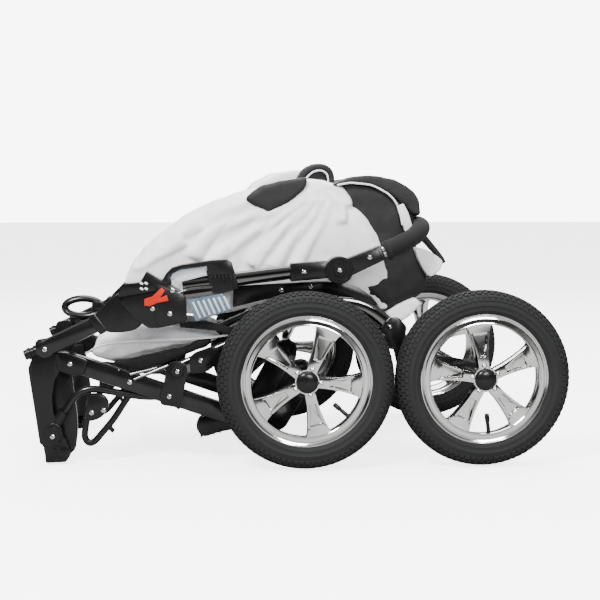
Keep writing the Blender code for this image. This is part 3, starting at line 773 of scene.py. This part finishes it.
def disc(place, radius, planes):
    depth = planes[1] - planes[0]
    return turned([(0.00001, 0.0), (radius, 0.0), (radius, depth - 0.0014),
                   (radius - 0.0014, depth), (radius * 0.80, depth), (radius * 0.78, depth - 0.0012),
                   (radius * 0.48, depth - 0.0012), (radius * 0.45, depth + 0.0006),
                   (0.00001, depth + 0.0006)], 56, (place[0], planes[1], place[1]))


bracket = framed(drawn((-14, 357), (44, 361), (56, 361), (56, 331), (44, 330), (-14, 325)),
                 (-0.2050, -0.1755))
inner_disc = disc(KNUCKLE, 0.0242, (-0.1895, -0.1756))
both_sides("knuckle_lower", merge(bracket, inner_disc), "black_plastic", "handle",
           "knuckle_lower")

# %% upper knuckle, collar and foam grip
arm = framed(drawn((84, 364), (147, 388), (157, 364), (95, 335)), (-0.2052, -0.1755))
outer_disc = disc(KNUCKLE, 0.0247, (-0.2085, -0.1900))
both_sides("knuckle_upper", merge(arm, outer_disc), "black_plastic", "grip", "knuckle_upper")

neck = spot(152, 376)
collar_way = Vector((0.92, 0, 0.40))
collar = turned([(0.0040, 0.0), (0.0105, 0.0), (0.0105, 0.0090), (0.0040, 0.0090)], 32,
                (neck[0], HANDLE_MID, neck[1]), collar_way)
both_sides("grip_collar", collar, "chrome", "grip")
half_grip = [(157, -190, 378), (172, -190, 385), (192, -189, 394), (208, -183, 402),
             (221, -172, 411), (229, -155, 418), (232, -130, 422), (233, -80, 424), (233, 0, 425)]
route = smooth_route([(x / 1000, y / 1000, z / 1000) for x, y, z in half_grip]
                     + [(x / 1000, -y / 1000, z / 1000) for x, y, z in half_grip[-2::-1]], 6)
grip = tube(route, (0.033, 0.033), 32)
ends = merge(*[turned([(0.0050, 0.0), (0.0178, 0.0), (0.0186, 0.0015), (0.0186, 0.0060),
                       (0.0172, 0.0078), (0.0050, 0.0078)], 40,
                      (spot(159, 0)[0], y, spot(0, 378)[1]), collar_way)
               for y in (HANDLE_MID, -HANDLE_MID)])
store("foam_grip_bar", merge(grip, ends), "foam_grip", "grip", ("grip_bar",))
screws("knuckle_screws", "handle", [(spot(10, 342), -0.2058)])
screws("grip_screws", "grip", [(KNUCKLE, -0.2091), (spot(127, 368), -0.2060)])
print("grip bent through", len(route), "places")

# %% [markdown]
# ## Cabin rail and pull ring
# The black bar that the cloth is sewn to is a flat strip bent down at its end. The pull ring is an
# oval ring with a round section: a circle pulled along an ellipse, its two ends bridged.

# %% cabin rail and pull ring
rail = slab(drawn((-113, 315), (-61, 318), (8, 321), (53, 322), (80, 320), (113, 312), (136, 296),
                  (150, 279), (134, 280), (99, 291), (44, 303), (-10, 297), (-61, 290),
                  (-114, 277)), (-0.1645, -0.1505), 0.002, 0.0022)
both_sides("cabin_rail", rail, "black_plastic", "handle", "cabin_rail")
screws("rail_screws", "handle", [(spot(-27, 308), -0.1645), (spot(26, 314), -0.1645)])


def oval_ring(middle, reach, size, steps=64):
    """A closed ring of round section; the two open ends are bridged."""
    bm = bmesh.new()
    turns = [math.tau * index / steps for index in range(steps)]
    points = [Vector((middle[0] + reach[0] * math.cos(t), 0, middle[1] + reach[1] * math.sin(t)))
              for t in turns]
    rings = []
    for index, point in enumerate(points):
        ahead = (points[(index + 1) % steps] - points[index - 1]).normalized()
        out = ahead.cross(Vector((0, 1, 0)))
        ring = bmesh.ops.create_circle(bm, segments=16, radius=0.5)["verts"]
        for vert in ring:
            vert.co = point + out * vert.co.x * size[0] + Vector((0, 1, 0)) * vert.co.y * size[1]
        rings.append(ring)
    for first, second in zip(rings, rings[1:] + rings[:1]):
        edges = {e for v in first + second for e in v.link_edges
                 if (e.verts[0] in first and e.verts[1] in first)
                 or (e.verts[0] in second and e.verts[1] in second)}
        bmesh.ops.bridge_loops(bm, edges=list(edges))
    return tidy(bm)


low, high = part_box("pull_ring")
middle = ((low.x + high.x) / 2, (low.z + high.z) / 2)
ring = oval_ring(middle, (0.0345, 0.0165), (0.0135, 0.0220))
foot = strip((-404, 232), (-379, 232), 0.020, (-0.014, 0.014), 0.004, 0.002)
clasp = strip((-377, 268), (-356, 268), 0.017, (-0.012, 0.012), 0.003, 0.002)
store("pull_ring_full", merge(ring, foot, clasp), "black_plastic", "handle", ("pull_ring",))

# %% [markdown]
# ## Front frame
# The frame's stand leg is a casting: a plate with a thick edge, a curved web inside it, a stepped
# foot and a socket for the bow tube. Side tubes are strips with well rounded edges. The bow tube and
# the light prop bar are routes smoothed into curves, with a moulded clip where they cross. Two slim
# rods brace the pivot bracket.

# %% stand legs
near_plate = slab(drawn((-477, 172), (-470, 190), (-462, 222), (-436, 226), (-426, 206),
                        (-420, 168), (-431, 150), (-436, 120), (-434, 92), (-424, 64),
                        (-412, 42), (-406, 24), (-406, 13), (-415, 3), (-448, 2), (-453, 33),
                        (-459, 37), (-466, 90), (-473, 140)), (-0.1700, -0.1560), 0.005,
                  0.0024)
web = slab(drawn((-428, 176), (-407, 178), (-402, 150), (-398, 116), (-394, 84), (-394, 50),
                 (-398, 22), (-410, 12), (-432, 20), (-440, 90), (-440, 150)),
           (-0.1560, -0.1380), 0.004, 0.0020)
lip = tube(smooth_route(side_route(drawn((-446, 66), (-434, 72), (-424, 66), (-420, 52),
                                         (-424, 38)), -0.1708), 6), (0.0050, 0.0050), 14)
knob = turned([(0.00001, 0.0), (0.0085, 0.0), (0.0080, 0.0020), (0.0050, 0.0034),
               (0.00001, 0.0038)], 28, (spot(-430, 24)[0], -0.1698, spot(0, 24)[1]), loop=False)
foot = slab(drawn((-451, 34), (-409, 32), (-405, 15), (-413, 3), (-449, 2)), (-0.1725, -0.1380),
            0.003, 0.0020)
socket = tube(side_route(drawn((-436, 64), (-427, 77), (-417, 92)), -0.1600), (0.021, 0.021),
              24, 0.8)
both_sides("stand_leg", merge(near_plate, web, lip, knob, foot, socket), "black_plastic",
           "front_frame", "stand_leg")

# %% side tubes, hub and pivot brackets
FRAME_PLANES = (-0.1700, -0.1500)
side_tube = strip((-408, 184), (-60, 60.6), 0.034, FRAME_PLANES, 0.0, 0.0050)
both_sides("side_tube", side_tube, "black_tube", "front_frame", "side_tube")

insert = slab(drawn((-430, 200), (-412, 201), (-390, 193), (-372, 186), (-380, 158), (-404, 160),
                    (-424, 168)), (-0.1745, -0.148), 0.004, 0.0020)
both_sides("frame_insert", insert, "black_plastic", "front_frame")
screws("frame_screws", "front_frame",
       [(spot(-403, 180), -0.1745), (spot(-299, 145), -0.1700), (spot(-436, 50), -0.1735),
        (spot(-367, 91), -0.1690), (spot(-346, 95), -0.1690)])
rivet = screw_head(spot(-318, 167), -0.1700, 0.0026)
both_sides("frame_rivet", rivet, "dark_chrome", "front_frame")

# %% bow tubes and prop bars
BOW_Y = -0.1600
bow = smooth_route(side_route(drawn((-426, 78), (-412, 97), (-398, 117), (-382, 129), (-362, 132),
                                    (-335, 128), (-300, 121), (-268, 117), (-240, 118),
                                    (-226, 122)), BOW_Y), 6)
both_sides("bow_tube", tube(bow, (0.0125, 0.0130), 20), "black_tube", "front_frame", "bow_tube")

clip = slab(drawn((-372, 124), (-350, 124), (-340, 116), (-336, 104), (-340, 92), (-352, 80),
                  (-372, 74), (-379, 86), (-377, 104)), (-0.1690, -0.1510), 0.006, 0.0024, 4)
v_bar = smooth_route(side_route(drawn((-376, 80), (-379, 62), (-380, 46), (-374, 36), (-364, 37),
                                      (-350, 52), (-330, 76), (-312, 103), (-302, 118)), BOW_Y), 6)
tab = strip((-341, 68), (-329, 55), 0.006, (-0.1680, -0.1520), 0.001, 0.0008)
both_sides("prop_bar", merge(clip, tube(v_bar, (0.0110, 0.0120), 18, 0.75), tab),
           "black_plastic", "front_frame", "prop_bar")

# %% slim brace rods
for name, start, end in (("brace_rod", (-291, 150), (-231, 174)),
                         ("stay_rod", (-298, 159), (-250, 170))):
    rod = tube(side_route(drawn(start, ((start[0] + end[0]) / 2, (start[1] + end[1]) / 2), end),
                          -0.1722), (0.0060, 0.0060), 20)
    both_sides(name, rod, "dark_chrome", "front_frame")

# %% pivot brackets
bracket = slab(drawn((-237, 150), (-247, 118), (-244, 104), (-217, 99), (-212, 93), (-207, 104),
                     (-199, 148), (-196, 166), (-202, 178), (-214, 183), (-227, 180), (-236, 168)),
               (-0.1755, -0.1702), 0.004, 0.0014)
boss = turned([(0.0055, 0.0), (0.0115, 0.0), (0.0115, 0.0058), (0.0100, 0.0072), (0.0055, 0.0072)],
              32, (LEG_PIVOT.x, -0.1702, LEG_PIVOT.y))
both_sides("pivot_bracket", merge(bracket, boss), "black_plastic", "front_frame",
           "pivot_bracket")
screws("bracket_screws", "front_frame", [(LEG_PIVOT, -0.1772), (spot(-229, 119), -0.1755)])
screws("handle_pivot_screws", "handle", [(HANDLE_PIVOT, -0.2045)])

# %% brake pedal
low_y, high_y = width_of("brake_pedal")
pedal = slab(drawn((-176, 74), (-182, 57), (-174, 42), (-164, 39), (-140, 47), (-90, 56),
                   (-78, 66), (-78, 78), (-92, 88), (-120, 80), (-150, 79)),
             (low_y, high_y), 0.005, 0.0030)
treads = [strip((-172 + 11 * step, 39 + 2.4 * step), (-170 + 11 * step, 46 + 2.4 * step), 0.004,
                (low_y - 0.0008, high_y + 0.0008), 0, 0.0008) for step in range(4)]
store("brake_pedal_full", merge(pedal, *treads), "black_plastic", "brake", ("brake_pedal",))

# %% [markdown]
# ## Rear legs
# A rear leg is one tube with a long bend. Its route runs straight from behind the pivot to the
# start of the bend, then round an arc, and a squared ring pulled along it gives the flat-sided
# tube its soft edges and the one bright line along its back.

# %% rear legs
LEG_Y = -0.16025
BEND_MID, BEND_R = Vector(spot(79.4, 164.8)), 0.117
lead_end = Vector(spot(32.5, 272))
lead = (lead_end - LEG_PIVOT).normalized()
lead_start = LEG_PIVOT - lead * 0.020
straight = [lead_start.lerp(lead_end, share / 8) for share in range(8)]
arc = [BEND_MID + BEND_R * Vector((math.cos(math.radians(a)), math.sin(math.radians(a))))
       for a in (113.66, 106, 98, 90, 82, 74, 66, 58, 50, 45)]
leg = tube(side_route(straight + arc, LEG_Y), (0.0155, 0.0280), 28, 0.72)
both_sides("leg_tube", leg, "dark_chrome", "rear_leg", "leg_tube")

fitting = slab(drawn((-194, 186), (-184, 197), (-150, 209), (-139, 201), (-137, 182), (-160, 163),
                     (-190, 159)), (-0.1752, -0.1684), 0.005, 0.0016)
both_sides("leg_fitting", fitting, "black_plastic", "rear_leg", "leg_fitting")
arm = slab(drawn((151, 232), (163, 249), (172, 257), (186, 257), (201, 240), (197, 212),
                 (207, 197), (330, 175), (342, 162), (340, 146), (325, 138), (214, 159),
                 (183, 171), (175, 206), (163, 224)), (-0.1750, -0.1690), 0.004, 0.0016)
arm_core = slab(drawn((174, 240), (180, 250), (190, 248), (197, 238), (192, 210), (204, 192),
                      (328, 170), (334, 152), (216, 163), (188, 174)), (-0.1690, -0.1525),
                0.004, 0.0016)
both_sides("rear_arm", merge(arm, arm_core), "black_plastic", "rear_leg", "rear_arm")
screws("leg_screws", "rear_leg", [(spot(-172, 183), -0.1752), (spot(169, 240), -0.1750)])

# %% front hub brackets
hub_arm = slab(drawn((-66, 76), (-52, 42), (-20, 58), (30, 141), (32, 168), (20, 179), (9, 182),
                     (-3, 179), (-14, 170)), FRAME_PLANES, 0.005, 0.0030)
hub_boss = turned([(0.0066, 0.0), (0.0180, 0.0), (0.0175, 0.0120), (0.0140, 0.0170),
                   (0.0066, 0.0170)], 36, (FRONT_HUB.x, -0.1690, FRONT_HUB.y))
both_sides("front_hub_bracket", merge(hub_arm, hub_boss), "black_plastic", "front_frame",
           "front_hub_bracket")
print("rear legs and brackets shaped")

# %% [markdown]
# ## Soft parts
# Cloth starts as a rounded block in the space of its solid. A voxel remesh gives it an even skin,
# and Blender's Cloth then blows the skin up a little against its own stiffness, which crowns the
# panels and puckers the edges. How far a point may move is capped, so the part keeps its place.

# %% remesh and inflate
CLOTH_STEPS = 20


def evaluated(made):
    """What the modifiers of an object make of its mesh."""
    result = bmesh.new()
    graph = bpy.context.evaluated_depsgraph_get()
    done = made.evaluated_get(graph)
    result.from_mesh(done.to_mesh())
    done.to_mesh_clear()
    return result


def working_object(bm):
    mesh = bpy.data.meshes.new("working")
    bm.to_mesh(mesh)
    bm.free()
    made = bpy.data.objects.new("working", mesh)
    bpy.context.scene.collection.objects.link(made)
    return made


def remeshed(bm, voxel):
    made = working_object(bm)
    skin = made.modifiers.new("skin", "REMESH")
    skin.mode = "VOXEL"
    skin.voxel_size = voxel
    result = evaluated(made)
    bpy.data.objects.remove(made)
    return result


def inflated(bm, voxel, pressure, cap):
    """Swells a closed shape as a cushion swells; no point moves more than cap."""
    bm = remeshed(bm, voxel)
    rest = [v.co.copy() for v in bm.verts]
    made = working_object(bm)
    cloth = made.modifiers.new("cloth", "CLOTH")
    cloth.settings.use_pressure = True
    cloth.settings.uniform_pressure_force = pressure
    cloth.settings.effector_weights.gravity = 0
    cloth.settings.quality = 5
    for step in range(1, CLOTH_STEPS + 1):
        bpy.context.scene.frame_set(step)
    result = evaluated(made)
    bpy.data.objects.remove(made)
    bpy.context.scene.frame_set(1)
    for vert, start in zip(result.verts, rest):
        move = vert.co - start
        if move.length > cap:
            vert.co = start + move.normalized() * cap
    return result


def smoothstep(low, high, value):
    t = min(max((value - low) / (high - low), 0.0), 1.0)
    return t * t * (3 - 2 * t)


def wrinkled(bm, coarse, fine, seed):
    """Moves a skin in and out by slow and quick noise, along its normals."""
    bm.normal_update()
    moves = []
    for vert in bm.verts:
        place = vert.co + Vector((seed, 0, 0))
        slow = noise.noise(place * 11) * coarse
        quick = (1 - abs(noise.noise(place * 34)) * 2) * fine
        moves.append(vert.normal * (slow + quick))
    for vert, move in zip(bm.verts, moves):
        vert.co += move
    return bm


print("soft tools ready, simulation", "on")

# %% [markdown]
# ## White side panels
# Folded, the cabin is a tent pulled together at the carry loop, so its folds fan out from there.
# A fold is a rounded ridge between two creases, and a crease is an angle about the gathering point.
# Each vertex near a side asks in which sector it lies and moves outwards by the height of the ridge,
# which grows away from the gathering point and dies out at the rail that the cloth is sewn to.
# The nine largest folds are tapered tubes, joined to the block before its skin is remeshed, and the
# top sags a little between the two sides.

# %% cabin cloth
GATHER = Vector(spot(50, 500))
CREASES = (14, 27, 36, 45, 53, 62, 74)
FOLD_HEIGHT = 0.005


def fan_angle(x, z):
    """Degrees below the forward direction, as seen from the gathering point."""
    return math.degrees(math.atan2(GATHER.y - z, GATHER.x - x))


def fold_height(x, z):
    reach = math.hypot(x - GATHER.x, z - GATHER.y)
    angle = fan_angle(x, z) + 9 * math.sin(reach * 15) + 2.5 * noise.noise((x * 16, 0, z * 16))
    grown = smoothstep(0.015, 0.11, reach)
    if angle > CREASES[-1]:
        return FOLD_HEIGHT * grown * (0.75 + 0.35 * math.sin(
            math.pi * min((angle - CREASES[-1]) / 76, 1.0)))
    for first, second in zip(CREASES, CREASES[1:]):
        if first <= angle <= second:
            share = (angle - first) / (second - first)
            ridge = math.sin(math.pi * share ** 0.75) ** 0.6
            return FOLD_HEIGHT * grown * ridge * (0.55 + 0.0075 * angle)
    return FOLD_HEIGHT * 0.25 * grown


def folded(bm):
    for vert in bm.verts:
        x, y, z = vert.co
        side = smoothstep(0.105, 0.143, abs(y))
        free = smoothstep(0.318, 0.345, z) if x > -0.12 else smoothstep(0.262, 0.30, z)
        move = fold_height(x, z) * side * free
        vert.co.y += math.copysign(move, y)
        inside = 1 - smoothstep(0.03, 0.135, abs(y))
        crease = noise.noise((x * 26 + z * 20, y * 7, 4.0)) * 0.008
        vert.co.z -= smoothstep(0.30, 0.38, z) * inside * (0.007 + crease)
    return bm


cabin_core = slab(drawn((-302, 340), (-297, 350), (-261, 389), (-207, 430), (-144, 463), (-92, 482),
                        (-40, 490), (9, 503), (50, 508), (66, 500), (84, 494), (97, 482),
                        (106, 468), (127, 450), (146, 424), (160, 396), (167, 362), (178, 322),
                        (174, 268), (160, 263), (143, 291), (110, 293), (40, 296), (-61, 286),
                        (-120, 264), (-200, 263), (-290, 290), (-313, 318)),
                  (-0.141, 0.141), 0.006, 0.016, 3, 4)
FOLDS = (((-31, 448), (-83, 437), (-135, 419), (-168, 392), (-181, 366), 0.034),
         ((18, 470), (-28, 437), (-83, 407), (-129, 376), (-153, 350), 0.030),
         ((37, 470), (0, 434), (-43, 398), (-79, 352), 0.026),
         ((49, 470), (24, 430), (-9, 392), (-39, 348), 0.024),
         ((64, 466), (46, 425), (22, 385), (0, 345), 0.024),
         ((54, 496), (78, 490), (93, 476), (101, 462), 0.016),
         ((58, 486), (76, 472), (86, 452), (84, 430), 0.018),
         ((-268, 360), (-222, 400), (-176, 432), 0.030),
         ((-292, 345), (-244, 372), (-205, 398), 0.026))
ridges = []
for *places, width in FOLDS:
    path = smooth_route(side_route(drawn(*places), -0.1405), 5)
    ridges.append(tube(path, (0.022, width), 14, 1.0, (0.35, 1.0)))
near_folds = merge(*ridges)
cabin = merge(cabin_core, mirrored(near_folds), near_folds)
cabin = inflated(cabin, 0.0042, 2.0, 0.005)
cabin = wrinkled(folded(cabin), 0.0035, 0.0012, 3.0)
bmesh.ops.smooth_vert(cabin, verts=cabin.verts, factor=0.5, use_axis_x=True, use_axis_y=True,
                      use_axis_z=True)
cabin = store("cabin_cloth", cabin, "white_cloth", "handle", ("cabin",), 70)
print("cabin cloth", len(cabin.data.polygons), "faces,", len(FOLDS), "large folds a side")

# %% far gather of cloth
gather = slab(drawn((-88, 468), (-66, 500), (-30, 520), (10, 528), (36, 528), (46, 505), (0, 478)),
            (0.010, 0.138), 0.010, 0.016, 3, 3)
gather = wrinkled(remeshed(gather, 0.0045), 0.005, 0.0015, 13.0)
gather = store("cabin_gather", gather, "white_cloth", "handle", (), 70)

# %% charcoal top panel
top_panel = slab(drawn((-90, 470), (-78, 480), (-61, 492), (-22, 503), (22, 511), (20, 493), (2, 476),
                       (-22, 460), (-46, 447), (-66, 456)), (-0.1520, 0.1520), 0.004, 0.006, 2, 3)
top_panel = wrinkled(remeshed(top_panel, 0.004), 0.003, 0.0010, 8.0)
top_panel = store("top_panel", top_panel, "charcoal_cloth", "handle", (), 70)

# %% [markdown]
# ## Hood
# The charcoal hood is folded back under a stiff rim. The rim is a band between two arcs, drawn out
# to the full width, and a white cord of piping follows its lower edge. The white wedge behind the
# piping is the lining showing.

# %% hood, rim and piping
hood_core = slab(drawn((70, 494), (105, 503), (156, 503), (196, 486), (218, 466), (222, 440),
                       (212, 410), (222, 389), (238, 358), (246, 312), (240, 300), (211, 284),
                       (176, 266), (166, 262), (120, 300), (80, 330)), (-0.137, 0.137), 0.006,
                 0.012, 3, 3)
hood = wrinkled(inflated(hood_core, 0.0045, 1.5, 0.005), 0.004, 0.0014, 21.0)
hood = store("hood_cloth", hood, "charcoal_cloth", "handle", ("hood",), 70)

rim_band = slab(drawn((66, 496), (84, 503), (105, 510), (130, 513), (156, 512), (180, 506),
                      (202, 495), (217, 484), (227, 470), (229, 455), (231, 440), (215, 444),
                      (202, 460), (186, 472), (170, 483), (156, 491), (136, 497), (112, 500),
                      (79, 494)), (-0.1490, 0.1490), 0.003, 0.004, 2, 3)
rim_band = wrinkled(remeshed(rim_band, 0.0035), 0.0025, 0.0008, 5.0)
rim_band = store("hood_rim", rim_band, "charcoal_cloth", "handle", (), 60)


def piping(name, places, y, radius, paint, body="handle"):
    route = smooth_route(side_route(drawn(*places), y), 8)
    both_sides(name, tube(route, (radius * 2, radius * 2), 10), paint, body)


piping("hood_piping", ((76, 496), (98, 500), (116, 499), (138, 496), (156, 488), (172, 478),
                       (184, 464), (191, 446), (196, 424)), -0.1500, 0.0017, "white_cloth")
wedge = slab(drawn((186, 458), (198, 463), (207, 446), (216, 418), (201, 412), (194, 436)),
             (-0.1500, -0.135), 0.002, 0.0030)
lining = both_sides("hood_lining", wedge, "white_cloth", "handle")
print("hood shaped")

# %% [markdown]
# ## Carry loop and small panels
# The carry loop is a flat padded strap bent into an arch, with white piping on its edge. Below the
# handle two white panels and a turned-out flap show beside the charcoal cloth.

# %% carry loop
LOOP_ROUTE = ((22, 494), (23, 508), (31, 522), (45, 531), (62, 533), (76, 527), (82, 513), (80, 496))
loop_path = smooth_route(side_route(drawn(*LOOP_ROUTE), 0.0), 6)
strap = wrinkled(tube(loop_path, (0.044, 0.0135), 24, 0.6), 0.0008, 0.0003, 2.0)
loop = store("carry_loop_strap", strap, "charcoal_cloth", "handle", ("carry_loop",), 60)
piping_path = smooth_route(side_route(drawn((30, 496), (31, 508), (38, 517), (48, 524), (61, 526),
                                            (71, 521), (75, 511), (74, 498)), -0.0218), 6)
lining = slab(drawn((24, 494), (26, 510), (36, 524), (50, 530), (66, 530), (77, 520), (80, 508),
                    (78, 494)), (-0.012, 0.012), 0.003, 0.003)
loop_lining = store("loop_lining", wrinkled(remeshed(lining, 0.0030), 0.001, 0.0005, 9.0),
                    "charcoal_cloth", "handle", (), 60)
both_sides("loop_piping", tube(piping_path, (0.0034, 0.0034), 10), "white_cloth", "handle")

# %% seat cushion
cushion = slab(drawn((-374, 195), (-350, 222), (-298, 236), (-245, 235), (-164, 228), (-124, 223),
                     (-173, 209), (-236, 199), (-308, 184), (-339, 180), (-366, 185)),
               (-0.134, 0.134), 0.006, 0.008, 3, 3)
cushion = wrinkled(inflated(cushion, 0.005, 4.0, 0.007), 0.003, 0.0012, 31.0)
cushion = store("seat_cushion", cushion, "white_cloth", "handle", ("seat_pad",), 70)
piping("cushion_seam", ((-379, 193), (-352, 207), (-298, 214), (-236, 216), (-164, 219),
                        (-122, 224)), -0.1385, 0.0016, "white_cloth")

# %% seat base
base = slab(drawn((-336, 174), (-300, 180), (-240, 192), (-200, 200), (-182, 212), (-150, 220),
                  (-160, 206), (-200, 188), (-240, 174), (-280, 162), (-300, 162)),
            (-0.1330, 0.1330), 0.003, 0.003, 2, 2)
base = wrinkled(remeshed(base, 0.0040), 0.002, 0.0010, 44.0)
base = store("seat_base", base, "charcoal_cloth", "handle", (), 60)

# %% small panels below the handle
SMALL = (("side_flap", ((217, 385), (240, 380), (262, 368), (273, 356), (268, 342), (256, 331),
                        (247, 329), (236, 340), (225, 362)), (0.112, 0.150), "white_cloth"),
         ("lower_panel", ((166, 263), (190, 278), (221, 291), (233, 279), (214, 259), (197, 246),
                          (178, 250)), (0.085, 0.1465), "white_cloth"))
for name, outline, (near, far), paint in SMALL:
    panel = slab(drawn(*outline), (-far, -near), 0.004, 0.006, 2, 3)
    panel = wrinkled(remeshed(panel, 0.0028), 0.003, 0.0010, near * 90)
    for piece in both_sides(name, panel, paint, "handle"):
        if name == "side_flap":
            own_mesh(piece)
edge = smooth_route(side_route(drawn((238, 400), (254, 382), (270, 363), (275, 354)), -0.136), 6)
for piece in both_sides("flap_edge", tube(edge, (0.030, 0.0120), 18, 0.6, (1.0, 0.7)), "charcoal_cloth",
                        "handle"):
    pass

# %% webbing
strap = slab(drawn((-209, 250), (-164, 252), (-112, 239), (-112, 228), (-164, 236), (-209, 240)),
             (-0.1505, -0.1490), 0.0, 0.0004)
for piece in both_sides("side_webbing", strap, "charcoal_cloth", "handle"):
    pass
print("soft parts done")

# %% [markdown]
# ## A studio
# A pale floor, an even world and four soft lamps. The world is bright overhead and dark near the
# horizon, so the chrome has something to reflect. The floor glows only where the camera sees it
# directly, which keeps it pale without greying the black plastic above it. The camera stands to one
# side, a little above the wheels.

# %% floor, light and camera
def studio():
    floor_mesh = bmesh.new()
    bmesh.ops.create_grid(floor_mesh, x_segments=8, y_segments=8, size=30)
    bmesh.ops.translate(floor_mesh, vec=(0, 0, -0.0015), verts=floor_mesh.verts)
    mesh = bpy.data.meshes.new("floor")
    floor_mesh.to_mesh(mesh)
    floor_mesh.free()
    floor = bpy.data.objects.new("floor", mesh)
    bpy.context.scene.collection.objects.link(floor)
    paint = Finish("floor_paint", Roughness=0.65, Emission_Strength=3.5)
    seen = paint.node("ShaderNodeLightPath")
    paint.set("Emission Color", paint.blend(seen, grey(0.0), grey(1.0)))
    paint.set("Base Color", paint.blend(seen, grey(0.30), paint.blend(paint.noise(3.0), grey(0.86),
                                                                      grey(0.90))))
    mesh.materials.append(paint.material)

    world = bpy.data.worlds.new("studio")
    bpy.context.scene.world = world
    world.use_nodes = True
    tree = world.node_tree
    sky = tree.nodes["Background"]
    sky.inputs["Strength"].default_value = 1.0
    way = tree.nodes.new("ShaderNodeTexCoord")
    parts = tree.nodes.new("ShaderNodeSeparateXYZ")
    ramp = tree.nodes.new("ShaderNodeValToRGB")
    level = tree.nodes.new("ShaderNodeMapRange")
    level.inputs["From Min"].default_value = -1.0
    tree.links.new(way.outputs["Generated"], parts.inputs[0])
    tree.links.new(parts.outputs["Z"], level.inputs["Value"])
    tree.links.new(level.outputs["Result"], ramp.inputs["Fac"])
    stops = ((0.0, 0.30), (0.47, 0.16), (0.52, 0.04), (0.62, 0.10), (0.74, 0.60), (1.0, 0.95))
    for index, (place, value) in enumerate(stops):
        stop = (ramp.color_ramp.elements[index] if index < 2
                else ramp.color_ramp.elements.new(place))
        stop.position = place
        stop.color = grey(value)
    seen = tree.nodes.new("ShaderNodeLightPath")
    choose = tree.nodes.new("ShaderNodeMix")
    choose.data_type = "RGBA"
    choose.inputs[7].default_value = grey(8.0)
    tree.links.new(seen.outputs["Is Camera Ray"], choose.inputs[0])
    tree.links.new(ramp.outputs["Color"], choose.inputs[6])
    tree.links.new(choose.outputs[2], sky.inputs["Color"])
    for name, place, size, power in (("key", (-1.5, -2.2, 2.9), 0.8, 240),
                                     ("fill", (0.9, -3.0, 1.7), 1.0, 110),
                                     ("top", (0.1, 0.2, 3.0), 2.2, 130),
                                     ("back", (0.3, 3.0, 2.4), 2.4, 110)):
        lamp = bpy.data.lights.new(name, "AREA")
        lamp.energy = power
        lamp.size = size
        holder = bpy.data.objects.new(name, lamp)
        holder.location = place
        holder.rotation_euler = (Vector((0, 0, 0.25)) - Vector(place)).to_track_quat(
            "-Z", "Y").to_euler()
        bpy.context.scene.collection.objects.link(holder)

    lens = bpy.data.cameras.new("camera")
    lens.lens = 69
    lens.sensor_width = 36
    camera = bpy.data.objects.new("camera", lens)
    camera.location = (-0.195, -2.223, 0.459)
    camera.rotation_euler = (math.radians(90 - 4.69), 0, math.radians(-5.60))
    bpy.context.scene.collection.objects.link(camera)
    bpy.context.scene.camera = camera


studio()
